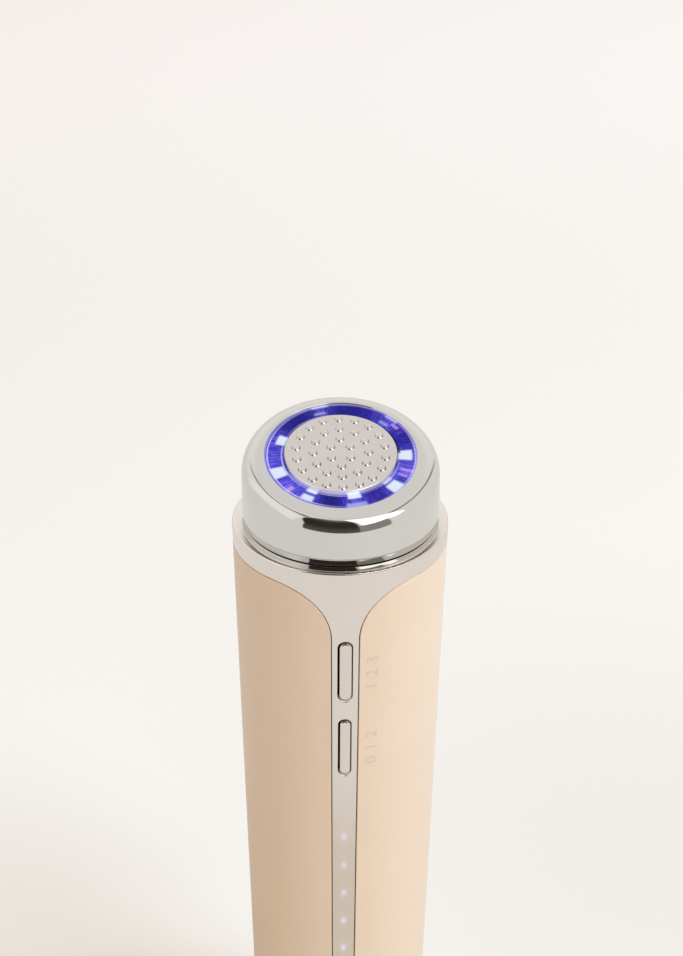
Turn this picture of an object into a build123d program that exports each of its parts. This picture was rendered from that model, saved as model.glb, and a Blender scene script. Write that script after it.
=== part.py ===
from build123d import *
import math
import os

# Facial toning device: a slim tapered handle that stands on a round foot and carries a slanted
# round head with a centre electrode, a light ring and a chromed outer electrode.
# Millimetres, +Z up. The origin is the centre of the handle's axis at the foot's underside.
# The buttons face -Y. The head's axis is parallel to the handle's and lies a little in front.

# ---- driving dimensions ---------------------------------------------------------------------

# handle
LEDGE_Z = 150.0            # height of the flat ledge that the head stands on
BODY_R = 21.95             # outside radius of the handle at the ledge
TAPER = 0.03               # radius lost for each millimetre down the handle
WALL = 1.8                 # wall of the sleeve, the collar and the base cap
PART_GAP = 0.2             # visible parting gap between outer pieces
FIT = 0.15                 # clearance round pieces that are assembled and stay put
SEAT = 0.05                # clearance under a piece that is clamped in a stack
SLIDE_FIT = 0.08           # radial clearance of a sliding or turning fit

# front trim: collar, funnel and spine
COLLAR_H = 4.0             # height of the collar below the ledge
FUNNEL_R = 11.8            # radius of the curve from the collar into the spine
SPINE_HALF_TOP = 2.7       # half width of the spine where the funnel ends
SPINE_HALF_END = 1.95      # half width of the spine at the base cap
COLLAR_PLATE = 1.6         # thickness of the ledge plate
LEDGE_ROUND = 0.4          # rounding of the ledge's outer edge
TRIM_ROUND = 0.15          # rounding along the parting edges
LIP_H = 5.0                # height of the hidden lip inside the sleeve
LIP_WALL = 1.0             # wall of the hidden lip

# buttons
BUTTON_DROP = (23.5, 42.25)    # centres of the upper and the lower button, below the ledge
BUTTON_L = (14.6, 14.1)        # length of their openings in the spine
BUTTON_W = (3.1, 2.75)         # width of their openings
BUTTON_GAP = 0.16              # clearance of a button in its opening
BUTTON_SINK = 0.3              # how far a button's face lies below the spine
BUTTON_ROUND = 0.22            # rounding of a button's edge and of its opening
BUTTON_TRAVEL = 0.5            # how far a button is pressed in
FLANGE_LIP = 0.7               # how far a button's flange reaches behind the spine
FLANGE_T = 0.8                 # thickness of that flange
STEM_R = 1.0                   # radius of the stem that presses the switch

# switches on the main board
SWITCH_W = 4.0
SWITCH_H = 5.0
SWITCH_T = 1.8
PLUNGER_R = 0.8
PLUNGER_OUT = 0.8              # how far the plunger stands out of the switch at rest
PLUNGER_IN = 0.8               # how far it reaches inside the switch at rest

# indicator lights
LIGHT_DROP = 65.1              # the top light lies this far below the ledge
LIGHT_PITCH = 7.45
LIGHT_COUNT = 5
PIPE_R = 0.9                   # radius of a light pipe
SKIN = 0.35                    # thickness of the spine left in front of a light pipe
BAFFLE_W = 6.4
BAFFLE_END = 3.0               # length of the baffle past the first and last light
INDICATOR_LED_W = 1.2
INDICATOR_LED_H = 0.8
INDICATOR_LED_T = 0.6

# main board and chassis
BOARD_T = 1.0
BOARD_W = 15.0
BOARD_Z0 = 22.0
BOARD_DROP = 9.0               # the board's upper end lies this far below the ledge
BOARD_MARGIN = 0.3             # how far the board's edges stay behind the sleeve's wall
BOARD_GAP = 2.0                # space between the board and the deck
DECK_T = 2.0
DECK_Z0 = 14.0
DECK_GAP = 0.45                # space between the deck's top and the head's base plate
POST_X = 5.0                   # the board's posts stand this far each side of the middle
POST_R = 1.8
POST_END = 3.0                 # distance of the outer posts from the board's upper end
POST_FOOT = 11.0               # the same at its lower end
BOARD_SCREW_R = 0.8
BOARD_SCREW_HEAD_R = 1.5
BOARD_SCREW_HEAD_T = 0.7
WINDOW_HALF = 8.2              # window in the deck for the transformer and the leads
WINDOW_RISE = 7.5              # the window starts this far above the cell
WINDOW_H = 12.5
TRANSFORMER_HALF = 4.6
TRANSFORMER_DEPTH = 6.5
TRANSFORMER_H = 8.5
TRANSFORMER_RISE = 1.5         # height of its underside above the window's lower edge
BOBBIN_FLANGE = 1.2
CHIP_T = 0.9
# width, height and distance above the board's lower end of each package on its back
CHIPS = ((6.0, 6.0, 66.0), (4.0, 4.0, 53.0), (4.0, 5.0, 40.0), (5.0, 4.0, 26.0))
DRIVER_HALF = 1.5              # square package between the transformer and the ribbon
LUG_HALF = 5.0
LUG_H = 8.0
LUG_T = 3.0
CHASSIS_SCREW_R = 1.0
CHASSIS_SCREW_HEAD_R = 1.9
CHASSIS_SCREW_HEAD_T = 1.1
SCREW_END = 0.5                # depth of a blind screw hole past the screw's tip

# battery
CELL_R = 9.0
CELL_L = 65.0
CELL_GAP = 0.5                 # space between the deck and the cell
CELL_LIFT = 6.25               # space between the charging board and the cell
SADDLE_MARGIN = 13.0           # distance of each saddle from the cell's end
SADDLE_T = 6.0
SADDLE_LIP = 1.85              # how far a saddle reaches out past the cell
STRAP_T = 1.3
TAB_T = 0.25
TAB_HALF = 2.0
TAB_PAST = 1.0                 # how far a tab reaches past its lead
LEAD_R = 0.5                   # radius of a wire over its insulation
LEAD_X = 7.0                   # the cell's leads run this far each side of the middle
LEAD_BEND = 3.0
LEAD_RISE = 1.2                # height of the leads above the window's lower edge
LEAD_CLEAR = 0.3               # space between a strap and the lead that passes behind it

# base
BASE_H = 8.0                   # height of the visible base cap above the surface
FOOT_STAND = 0.8               # how far the rubber foot stands out of the base cap
FOOT_W = 3.5                   # width of the rubber foot
FOOT_T = 1.8                   # depth from the surface to the bottom of the foot's groove
FLOOR_T = 2.8
BASE_ROUND = 2.0
BASE_SCREW_ANGLE = 43.5        # degrees that the screws lie in front of the X axis
BASE_SCREW_R = 1.0
BASE_SCREW_HEAD_R = 1.55
BASE_SCREW_HEAD_T = 0.8
BASE_SCREW_L = 11.0
FOOT_POST_R = 2.3              # screw posts at the lower end of the chassis

# charging socket: a symmetrical USB-C receptacle, 8.94 x 3.26 mm outside
SOCKET_W = 8.94
SOCKET_H = 3.26
SOCKET_WALL = 0.3
SOCKET_L = 7.4
TONGUE_W = 6.7
TONGUE_T = 0.7
PORT_MARGIN = 0.25             # clearance of the socket in the floor
CHARGE_BOARD_T = 1.0
CHARGE_BOARD_W = 14.0
CHARGE_BOARD_H = 17.0
CHARGE_LEAD_X = 4.0
CHARGE_LEAD_OVER = 4.0         # length of a charging lead along the main board
PORT_INSET = 0.2               # how far the socket's mouth lies inside the floor
SOCKET_END = 1.0               # thickness of the socket's closed end
TONGUE_INSET = 1.0
GUIDE_H = 9.0                  # guides that hold the charging board in the base cap
GUIDE_W = 2.4
GUIDE_FRONT = 2.6              # thickness of a guide in front of the board
GUIDE_BACK = 2.4

# head
HEAD_Y = -1.4                  # the head's axis, in front of the handle's axis
LEDGE_W = 0.65                 # width of the ledge in front, where it is narrowest
HEAD_R = BODY_R + HEAD_Y - LEDGE_W     # outside radius of the chromed cap
FACE_H = 15.5                  # height of the slanted face above the ledge, on the head's axis
FACE_TILT = 13.55              # degrees that the face leans towards the buttons
FACE_ROUND = 3.7               # rounding between the face and the wall
FACE_ROUND_IN = 1.9            # the same rounding inside
CAP_WALL = 1.3
FACE_WALL = 1.7
RING_H = 1.34                  # height of the chromed ring under the cap
RING_STEP = 0.03               # the ring's edge at the ledge lies this far inside the cap's wall
RING_FLARE = 0.32              # how much narrower the ring is at its top
RING_STRAIGHT = 0.25           # height of the ring's upright part
SEAL_H = 0.32                  # thickness of the black seal between ring and cap
SEAL_SINK = 0.47               # how far the seal lies inside the ring's edge
SKIRT_H = 1.24                 # height of the flared skirt along the cap's lower edge
SKIRT_STEP = 0.16              # the skirt's foot lies this far inside the cap's wall
SKIRT_NECK = 0.54              # depth of the step between skirt and wall
RING_R = HEAD_R - RING_STEP
SKIRT_R = HEAD_R - SKIRT_STEP
TUBE_GAP = 1.0                 # space between the head frame's tube and the cap
TUBE_WALL = 1.5
TUBE_R = HEAD_R - CAP_WALL - TUBE_GAP
BORE_R = TUBE_R + FIT + SEAT   # bore of the ledge plate
FLANGE_OVER = 0.7              # how far the frame's flange reaches under the ledge plate
FRAME_FLANGE_R = BORE_R + FLANGE_OVER
FRAME_FLANGE_Y = HEAD_Y + 0.3  # the flange reaches under the ledge in front too
FRAME_FLANGE_T = 1.7
BASE_PLATE_T = 2.0             # plate that closes the head from below
BOSS_R = 2.4
BOSS_PITCH = TUBE_R - TUBE_WALL - BOSS_R + 0.5      # the bosses merge with the tube
BOSS_ANGLES = (-120.0, -60.0, 35.0, 145.0)
HEAD_SCREW_R = 0.9
HEAD_SCREW_HEAD_R = 1.7
HEAD_SCREW_HEAD_T = 1.1
HEAD_SCREW_L = 6.0

# face parts, stacked along the face's own normal
FACE_BAND = 4.7                # from the cap's wall in to the light ring
LIGHT_W = 3.6                  # visible width of the light ring
LIGHT_SINK = 0.25              # the light ring's top lies this far below the face
LIGHT_T = FACE_WALL + SEAT - LIGHT_SINK        # its flange lies just under the cap's face
LIGHT_FLANGE_T = 0.8
LIGHT_GAP = 0.1                # gap between the light ring and the cap
LIGHT_R_OUT = HEAD_R - FACE_BAND
LIGHT_R_IN = LIGHT_R_OUT - LIGHT_W
ELECTRODE_GAP = 0.2            # gap between the light ring and the centre electrode
ELECTRODE_R = LIGHT_R_IN - ELECTRODE_GAP
ELECTRODE_RISE = 0.5           # the electrode's face stands this far above the chromed face
ELECTRODE_T = 1.2
ELECTRODE_SKIRT = 2.2
ELECTRODE_SKIRT_WALL = 1.1
ELECTRODE_ROUND = 0.28
BUMP_R = 0.75                  # radius of a massage bump at its foot
BUMP_H = 0.4
BUMP_FIRST = (2.1, 4.04)       # half sizes of the innermost oval ring of bumps: side, long
BUMP_PITCH = (3.45, 2.98)      # from one ring to the next: side, long
BUMP_MARGIN = 2.4              # least distance from the outer ring to the electrode's side
BUMP_STEP = 6                  # bumps in the first ring, and added by each next ring
LED_BOARD_T = 1.0
LED_AIR = 0.35                 # space between the LEDs and the light ring
LED_COUNT = 9
LED_FIRST = 2.0                # degrees from +X to the first LED
LED_W = 2.8
LED_L = 2.8
LED_T = 0.8
LED_BOARD_DEPTH = LIGHT_SINK + LIGHT_T + LIGHT_FLANGE_T + LED_AIR + LED_T    # to its top
LED_PITCH_R = (LIGHT_R_IN + LIGHT_R_OUT) / 2
HUB_R = ELECTRODE_R - ELECTRODE_SKIRT_WALL - FIT - SEAT
HUB_HOLE_R = 0.8
PIN_R = HUB_HOLE_R - 0.1
PIN_REACH = 1.5                # how far the pin stands out below the deck
DECK_THICK = 1.5               # the head frame's slanted deck
RIM_INSET = 0.6                # the frame's rim round the LED board, in from the tube's side
RIM_W = 1.0
RIM_R_OUT = TUBE_R - RIM_INSET
RIM_R_IN = RIM_R_OUT - RIM_W
LIGHT_FLANGE_R = RIM_R_IN + 0.4        # the light ring's flange rests on the rim
LED_BOARD_R_OUT = RIM_R_IN - 2 * FIT
LED_BOARD_R_IN = HUB_R + 1.8

# vibration motor
WEIGHT_R = 4.0
WEIGHT_CLEAR = 1.7             # space between the turning weight and the head frame's tube
MOTOR_Y = HEAD_Y + TUBE_R - TUBE_WALL - WEIGHT_CLEAR - WEIGHT_R
MOTOR_R = 3.5
MOTOR_DROP = 12.5              # the motor's underside lies this far below the ledge
MOTOR_L = 15.5
SHAFT_SEAT = 3.2               # height of the shaft's lower end above the motor's underside
SOCKET_SHORT = 1.0             # the motor's socket and damper start this far above its underside
DAMPER_OUT = 1.0               # how far the damper stands up past the head's base plate
DAMPER_T = 0.9
SNUG = 0.02                    # clearance of the rubber damper
SHAFT_R = 0.5
RUN_FIT = 0.05                 # radial clearance of the shaft in its bearing
WEIGHT_H = 3.6
WEIGHT_GAP = 0.6
WEIGHT_HUB = 0.8               # wall of the weight's hub round the shaft
SHAFT_END = 0.2

# head ribbon: the flat cable from the main board to the LED board
RIBBON_W = 4.0
RIBBON_T = 0.2
RIBBON_OVER = 9.0              # length of the ribbon along the board
RIBBON_LIFT = 0.03             # gap between the ribbon and the board
WIRE_R = 0.4                   # radius of a thin wire over its insulation
WIRE_X = 2.6                   # the electrode wires pass this far each side of the middle
WIRE_OVER = 6.0                # length of an electrode wire along the board
WIRE_STEP = 5.6                # the electrode wires turn this far behind the board
MOTOR_WIRE_X = 6.2
MOTOR_WIRE_DROP = 5.9          # the upper motor wire runs this far below the motor
MOTOR_WIRE_PITCH = 1.2         # distance between the two motor wires
WIRE_BEND = 1.5
CONTACT_DROP = 9.5             # the cap's contact lies this far below the face's centre
CONTACT_W = 4.0
CONTACT_H = 5.0
CONTACT_PIN_R = 0.6
CONTACT_PIN_OUT = 1.1          # how far the contact's pin stands out inside the tube

os.makedirs("parts", exist_ok=True)


# ---- shared shapes --------------------------------------------------------------------------

def body_radius(z):
    """Outside radius of the handle at height z."""
    return BODY_R - TAPER * (LEDGE_Z - z)


def cone(z0, z1, inset=0.0):
    """Solid slice of the handle from z0 to z1, its side moved in by inset."""
    low = body_radius(z0) - inset
    high = body_radius(z1) - inset
    return Pos(0, 0, (z0 + z1) / 2) * Cone(low, high, z1 - z0)


def rod(radius, z0, z1, x=0.0, y=0.0):
    """Upright cylinder from z0 to z1."""
    return Pos(x, y, (z0 + z1) / 2) * Cylinder(radius, z1 - z0)


def rod_y(radius, y0, y1, x=0.0, z=0.0):
    """Cylinder along Y from y0 to y1."""
    return Pos(x, (y0 + y1) / 2, z) * Rot(90, 0, 0) * Cylinder(radius, y1 - y0)


def block(x0, x1, y0, y1, z0, z1):
    """Box between two corners."""
    size = (x1 - x0, y1 - y0, z1 - z0)
    return Pos((x0 + x1) / 2, (y0 + y1) / 2, (z0 + z1) / 2) * Box(*size)


def front_prism(sketch):
    """Push a sketch, drawn as x and height, forward from the handle's axis."""
    return extrude(Plane.XZ * sketch, amount=BODY_R + 5)


def stadium(length, width, z):
    """Upright slot outline at height z, for front_prism."""
    return Pos(0, z) * Rot(0, 0, 90) * SlotOverall(length, width)


COLLAR_Z = LEDGE_Z - COLLAR_H
BUTTON_Z = tuple(LEDGE_Z - drop for drop in BUTTON_DROP)
LIGHT_Z = LEDGE_Z - LIGHT_DROP
BOARD_Z1 = LEDGE_Z - BOARD_DROP
FRAME_Z0 = LEDGE_Z - COLLAR_PLATE - SEAT - FRAME_FLANGE_T    # underside of the head frame
PLATE_Z0 = FRAME_Z0 - BASE_PLATE_T                           # underside of the head's base plate
FLOOR_TOP = FOOT_STAND + FLOOR_T
FUNNEL_END = COLLAR_Z - FUNNEL_R
SPINE_Z0 = BASE_H + PART_GAP
INNER_Z0 = body_radius(BOARD_Z0) - WALL - FIT      # room for the board at its lower end
BOARD_Y = BOARD_MARGIN - math.sqrt(INNER_Z0 ** 2 - (BOARD_W / 2) ** 2)    # the board's front
BOARD_BACK = BOARD_Y + BOARD_T
DECK_Y = BOARD_BACK + BOARD_GAP                    # the deck's front
DECK_BACK = DECK_Y + DECK_T
DECK_Z1 = PLATE_Z0 - DECK_GAP
CHASSIS_SCREW_Z = DECK_Z1 - LUG_H / 2
CELL_Y = DECK_BACK + CELL_GAP + CELL_R             # the cell's axis
CELL_Z = FLOOR_TOP + FIT + CHARGE_BOARD_H + CELL_LIFT        # the cell's underside
CELL_TOP = CELL_Z + CELL_L
SADDLE_Z = (CELL_Z + SADDLE_MARGIN, CELL_TOP - SADDLE_MARGIN - SADDLE_T)
WINDOW_Z0 = CELL_TOP + WINDOW_RISE
POST_Z = (BOARD_Z0 + POST_FOOT, WINDOW_Z0 - POST_R - 0.7, BOARD_Z1 - POST_END)
MOTOR_Z0 = LEDGE_Z - MOTOR_DROP
MOTOR_Z1 = MOTOR_Z0 + MOTOR_L
MOTOR_WIRE_Z = (MOTOR_Z0 - MOTOR_WIRE_DROP, MOTOR_Z0 - MOTOR_WIRE_DROP - MOTOR_WIRE_PITCH)
RIBBON_Y = BOARD_BACK + RIBBON_LIFT
CONTACT_Z = LEDGE_Z + FACE_H - CONTACT_DROP
LIP_PASS_R = body_radius(COLLAR_Z - LIP_H) - WALL - LIP_WALL - 2 * FIT
BASE_PLATE_R = LIP_PASS_R - FIT
SOCKET_Z0 = FOOT_STAND + PORT_INSET
LIP_IN_R = body_radius(BASE_H) - WALL - FIT - LIP_WALL       # inside of the base cap's lip
BASE_SCREW_RING = LIP_IN_R - FIT - FOOT_POST_R
BASE_SCREW_X = BASE_SCREW_RING * math.cos(math.radians(BASE_SCREW_ANGLE))
BASE_SCREW_Y = -BASE_SCREW_RING * math.sin(math.radians(BASE_SCREW_ANGLE))
FOOT_R_IN = BASE_SCREW_RING - FOOT_W / 2                     # the foot covers the screws
FOOT_R_OUT = BASE_SCREW_RING + FOOT_W / 2
CHARGE_BOARD_Y = SOCKET_H / 2
CAP_Z0 = LEDGE_Z + RING_H + SEAL_H
DECK_DEPTH = LED_BOARD_DEPTH + LED_BOARD_T + SEAT            # the head deck's depth below the face
PIN_DEPTH = DECK_DEPTH + DECK_THICK + PIN_REACH
HALF_SLOT = WIRE_X + WIRE_R + FIT

FACE = Plane(
    origin=(0, HEAD_Y, LEDGE_Z + FACE_H),
    x_dir=(1, 0, 0),
    z_dir=(0, -math.sin(math.radians(FACE_TILT)), math.cos(math.radians(FACE_TILT))),
)


def face_ring(r_out, r_in, w0, w1):
    """Ring or disc square to the slanted face, between depths w0 and w1 along its normal."""
    ring = Pos(0, 0, (w0 + w1) / 2) * Cylinder(r_out, w1 - w0)
    if r_in > 0:
        ring = ring - Pos(0, 0, (w0 + w1) / 2) * Cylinder(r_in, w1 - w0 + 2)
    return FACE * ring


def below_face(depth):
    """Everything under the plane that lies depth below the slanted face."""
    reach = 80.0
    return FACE * (Pos(0, 0, -depth - reach / 2) * Box(reach, reach, reach))


def on_wall(edge, inset, tolerance=0.02):
    """True where an edge lies on the handle's side, moved in by inset."""
    for place in (0.25, 0.5, 0.75):
        point = edge.position_at(place)
        if abs(math.hypot(point.X, point.Y) - body_radius(point.Z) + inset) > tolerance:
            return False
    return True


# ---- front trim -----------------------------------------------------------------------------

def trim_outline(grow=0.0, foot=SPINE_Z0):
    """Funnel and spine as seen from the front, grown all round by grow."""
    wide = SPINE_HALF_TOP + FUNNEL_R
    half = SPINE_HALF_TOP + grow
    low = SPINE_HALF_END + grow
    top = COLLAR_Z - grow
    lift = COLLAR_Z + 2
    radius = FUNNEL_R - grow
    middle = (half + radius * (1 - math.sqrt(0.5)), top - radius * (1 - math.sqrt(0.5)))
    right = [
        Line((0, lift), (wide, lift)),
        Line((wide, lift), (wide, top)),
        ThreePointArc((wide, top), middle, (half, FUNNEL_END)),
        Line((half, FUNNEL_END), (low, foot)),
        Line((low, foot), (0, foot)),
    ]
    left = [mirror(edge, about=Plane.YZ) for edge in right]
    return make_face(right + left)


def collar_spine():
    """Silver trim in one piece: ledge plate, collar, funnel and spine down to the base."""
    clear = SPINE_HALF_TOP + FUNNEL_R
    outer = cone(SPINE_Z0, LEDGE_Z)
    outer = fillet(outer.edges().filter_by(GeomType.CIRCLE).sort_by(Axis.Z)[-1], LEDGE_ROUND)
    inner = cone(SPINE_Z0 - 1, LEDGE_Z - COLLAR_PLATE, WALL)
    shell = outer - inner
    band = shell - block(-BODY_R, BODY_R, -BODY_R, BODY_R, 0, COLLAR_Z)
    tongue = shell & front_prism(trim_outline())
    trim = band + tongue
    lip = cone(COLLAR_Z - LIP_H, COLLAR_Z + 0.6, WALL + FIT)
    lip = lip + cone(COLLAR_Z, COLLAR_Z + 0.6, WALL / 2)
    lip = lip - cone(COLLAR_Z - LIP_H - 1, COLLAR_Z + 2, WALL + FIT + LIP_WALL)
    lip = lip - block(-clear, clear, -BODY_R - 5, 0, COLLAR_Z - LIP_H - 1, COLLAR_Z + 2)
    trim = trim + lip
    trim = trim - rod(BORE_R, LEDGE_Z - COLLAR_PLATE - 0.5, LEDGE_Z + 5, y=HEAD_Y)
    for z, length, width in zip(BUTTON_Z, BUTTON_L, BUTTON_W):
        trim = trim - front_prism(stadium(length, width, z))
        rims = [
            edge
            for edge in trim.edges()
            if on_wall(edge, 0.0)
            and abs(edge.center().Z - z) < length / 2 + 0.1
            and abs(edge.center().X) < width / 2 + 0.05
        ]
        trim = fillet(rims, BUTTON_ROUND)
    for index in range(LIGHT_COUNT):
        z = LIGHT_Z - index * LIGHT_PITCH
        trim = trim - rod_y(PIPE_R + SLIDE_FIT, SKIN - body_radius(z), 0, z=z)
    return trim


def handle_sleeve():
    """Tapered sleeve that wraps the handle and leaves a slot for the front trim."""
    z0 = SPINE_Z0
    z1 = COLLAR_Z - PART_GAP
    shell = cone(z0, z1) - cone(z0 - 1, z1 + 1, WALL)
    slot = front_prism(trim_outline(PART_GAP, z0 - 1))
    shell = shell - slot
    edges = [edge for edge in shell.edges() if on_wall(edge, 0.0) and edge.length > 1]
    return fillet(edges, TRIM_ROUND)


# ---- buttons and switches -------------------------------------------------------------------

def flange_front(index):
    """Y of the front of a button's flange, just behind the spine's lowest inner point."""
    half_w = BUTTON_W[index] / 2 + FLANGE_LIP
    low_z = BUTTON_Z[index] - BUTTON_L[index] / 2 - FLANGE_LIP
    inner = body_radius(low_z) - WALL
    return -math.sqrt(inner ** 2 - half_w ** 2) + FIT


def button(index):
    """Long button: sunk cap in the spine's opening, flange behind it and a stem."""
    z = BUTTON_Z[index]
    length = BUTTON_L[index] - 2 * BUTTON_GAP
    width = BUTTON_W[index] - 2 * BUTTON_GAP
    y0 = flange_front(index)
    cap = front_prism(stadium(length, width, z)) & cone(z - length, z + length, BUTTON_SINK)
    cap = cap & block(-5, 5, -BODY_R - 5, y0 + 0.1, z - length, z + length)
    rims = [edge for edge in cap.edges() if on_wall(edge, BUTTON_SINK)]
    cap = fillet(rims, BUTTON_ROUND)
    flange = front_prism(stadium(length + 2 * FLANGE_LIP, width + 2 * FLANGE_LIP, z))
    flange = flange & block(-5, 5, y0, y0 + FLANGE_T, z - length, z + length)
    stem = rod_y(STEM_R, y0 + FLANGE_T - 0.1, plunger_front(), z=z)
    return cap + flange + stem


def plunger_front():
    """Y where a button's stem meets its switch's plunger."""
    return BOARD_Y - SWITCH_T - PLUNGER_OUT


def plunger(index):
    """Plunger of a switch, which the button's stem pushes in."""
    back = BOARD_Y - SWITCH_T + PLUNGER_IN
    return rod_y(PLUNGER_R, plunger_front(), back, z=BUTTON_Z[index])


def switch_bodies():
    """The two switch housings on the main board, each with a bore for its plunger."""
    housings = []
    for z in BUTTON_Z:
        half = SWITCH_H / 2
        front = BOARD_Y - SWITCH_T
        housing = block(-SWITCH_W / 2, SWITCH_W / 2, front, BOARD_Y, z - half, z + half)
        depth = front + PLUNGER_IN + BUTTON_TRAVEL + 0.1
        housings.append(housing - rod_y(PLUNGER_R + SLIDE_FIT, front - 1, depth, z=z))
    return Compound(housings)


# ---- indicator lights -----------------------------------------------------------------------

def light_heights():
    """Heights of the indicator lights, top one first."""
    return [LIGHT_Z - index * LIGHT_PITCH for index in range(LIGHT_COUNT)]


def light_baffle():
    """Black block between board and spine, with one tunnel for each light."""
    heights = light_heights()
    z0 = heights[-1] - BAFFLE_END
    z1 = heights[0] + BAFFLE_END
    half = BAFFLE_W / 2
    body = block(-half, half, -BODY_R, BOARD_Y, z0, z1) & cone(z0 - 1, z1 + 1, WALL + FIT)
    for z in heights:
        body = body - rod_y(PIPE_R + SLIDE_FIT, -BODY_R, 0, z=z)
    return body


def light_pipes():
    """Clear rods that carry each indicator's light to the thin skin of the spine."""
    pipes = []
    for z in light_heights():
        front = SKIN + FIT - body_radius(z)
        pipes.append(rod_y(PIPE_R, front, BOARD_Y - INDICATOR_LED_T - FIT, z=z))
    return Compound(pipes)


def indicator_leds():
    """Small LEDs on the main board, one at the foot of each tunnel."""
    leds = []
    half_w = INDICATOR_LED_W / 2
    half_h = INDICATOR_LED_H / 2
    front = BOARD_Y - INDICATOR_LED_T
    for z in light_heights():
        leds.append(block(-half_w, half_w, front, BOARD_Y, z - half_h, z + half_h))
    return Compound(leds)


# ---- main board -----------------------------------------------------------------------------

def board_posts():
    """Places of the posts and screws that hold the main board."""
    return [(side * POST_X, z) for side in (-1, 1) for z in POST_Z]


def main_board():
    """Long narrow circuit board behind the spine."""
    board = block(-BOARD_W / 2, BOARD_W / 2, BOARD_Y, BOARD_BACK, BOARD_Z0, BOARD_Z1)
    board = board & cone(BOARD_Z0 - 1, BOARD_Z1 + 1, WALL + FIT)
    for x, z in board_posts():
        board = board - rod_y(BOARD_SCREW_R + SLIDE_FIT, BOARD_Y - 1, BOARD_BACK + 1, x, z)
    return board


def board_chips():
    """Controller, charger, driver and memory packages on the back of the board."""
    chips = []
    back = BOARD_BACK + CHIP_T
    for width, height, rise in CHIPS:
        z = BOARD_Z0 + rise
        chips.append(block(-width / 2, width / 2, BOARD_BACK, back, z - height / 2, z + height / 2))
    half = DRIVER_HALF
    z = (WINDOW_Z0 + TRANSFORMER_RISE + TRANSFORMER_H + BOARD_Z1 - RIBBON_OVER) / 2
    chips.append(block(-half, half, BOARD_BACK, back, z - half, z + half))
    return Compound(chips)


def pulse_transformer():
    """Wound transformer that makes the toning pulses, in the deck's window."""
    half = TRANSFORMER_HALF
    back = BOARD_BACK + TRANSFORMER_DEPTH
    z0 = WINDOW_Z0 + TRANSFORMER_RISE
    z1 = z0 + TRANSFORMER_H
    core = block(-half, half, BOARD_BACK, back, z0, z1)
    neck = half - BOBBIN_FLANGE
    for low, high in ((z0 - 1, z0 + BOBBIN_FLANGE), (z1 - BOBBIN_FLANGE, z1 + 1)):
        core = core - block(-neck, neck, BOARD_BACK + BOBBIN_FLANGE, back + 1, low, high)
    return core


def board_screws():
    """Screws that hold the board to its posts."""
    screws = []
    for x, z in board_posts():
        head = rod_y(BOARD_SCREW_HEAD_R, BOARD_Y - BOARD_SCREW_HEAD_T, BOARD_Y, x, z)
        shank = rod_y(BOARD_SCREW_R, BOARD_Y - 0.1, DECK_BACK - 2 * FIT, x, z)
        screws.append(head + shank)
    return Compound(screws)


# ---- chassis and battery --------------------------------------------------------------------

def chassis():
    """Inner frame: a deck across the handle, posts for the board, saddles for the cell."""
    deck = block(-BODY_R, BODY_R, DECK_Y, DECK_BACK, DECK_Z0, DECK_Z1)
    deck = deck & cone(DECK_Z0 - 1, DECK_Z1 + 1, WALL + LIP_WALL + 2 * FIT)
    window_top = WINDOW_Z0 + WINDOW_H
    deck = deck - block(-WINDOW_HALF, WINDOW_HALF, DECK_Y - 1, DECK_BACK + 1, WINDOW_Z0, window_top)
    for x, z in board_posts():
        deck = deck + rod_y(POST_R, BOARD_BACK, DECK_Y + 0.5, x, z)
    for x, z in board_posts():
        deck = deck - rod_y(BOARD_SCREW_R + SLIDE_FIT, BOARD_BACK - 1, DECK_BACK - FIT, x, z)
    half = CELL_R + SADDLE_LIP
    for z in SADDLE_Z:
        saddle = block(-half, half, DECK_BACK - 0.5, CELL_Y, z, z + SADDLE_T)
        deck = deck + (saddle - rod(CELL_R + FIT, z - 1, z + SADDLE_T + 1, y=CELL_Y))
    for side in (-1, 1):
        x = side * BASE_SCREW_X
        post_z0 = FLOOR_TOP + FIT
        deck = deck + rod(FOOT_POST_R, post_z0, DECK_Z0 + 6, x, BASE_SCREW_Y)
        hole_top = FOOT_T + BASE_SCREW_L + SCREW_END
        deck = deck - rod(BASE_SCREW_R + SLIDE_FIT, post_z0 - 1, hole_top, x, BASE_SCREW_Y)
    hole = rod_y(CHASSIS_SCREW_R + SLIDE_FIT, DECK_Y - 1, DECK_BACK + 1, z=CHASSIS_SCREW_Z)
    wire_z = (MOTOR_WIRE_Z[0] + MOTOR_WIRE_Z[1]) / 2
    wire_r = MOTOR_WIRE_PITCH / 2 + WIRE_R + 2 * FIT
    wire_hole = rod_y(wire_r, DECK_Y - 1, DECK_BACK + 1, MOTOR_WIRE_X, wire_z)
    return deck - hole - wire_hole


def battery_cell():
    """Round rechargeable cell with rolled ends."""
    cell = rod(CELL_R, CELL_Z, CELL_Z + CELL_L, y=CELL_Y)
    ends = cell.edges().filter_by(GeomType.CIRCLE)
    cell = fillet(ends, 0.6)
    return cell


def battery_straps():
    """Half-round straps that close over the cell onto the saddles."""
    straps = []
    for z in SADDLE_Z:
        ring = rod(CELL_R + FIT + STRAP_T, z, z + SADDLE_T, y=CELL_Y)
        ring = ring - rod(CELL_R + FIT, z - 1, z + SADDLE_T + 1, y=CELL_Y)
        ring = ring & block(-BODY_R, BODY_R, CELL_Y, CELL_Y + BODY_R, z, z + SADDLE_T)
        straps.append(ring)
    return Compound(straps)


def battery_tabs():
    """Welded nickel tabs on the two ends of the cell."""
    end = LEAD_X + TAB_PAST
    y0 = CELL_Y - TAB_HALF
    y1 = CELL_Y + TAB_HALF
    upper = block(-TAB_HALF, end, y0, y1, CELL_TOP, CELL_TOP + TAB_T)
    lower = block(-end, TAB_HALF, y0, y1, CELL_Z - TAB_T, CELL_Z)
    return Compound([upper, lower])


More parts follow.
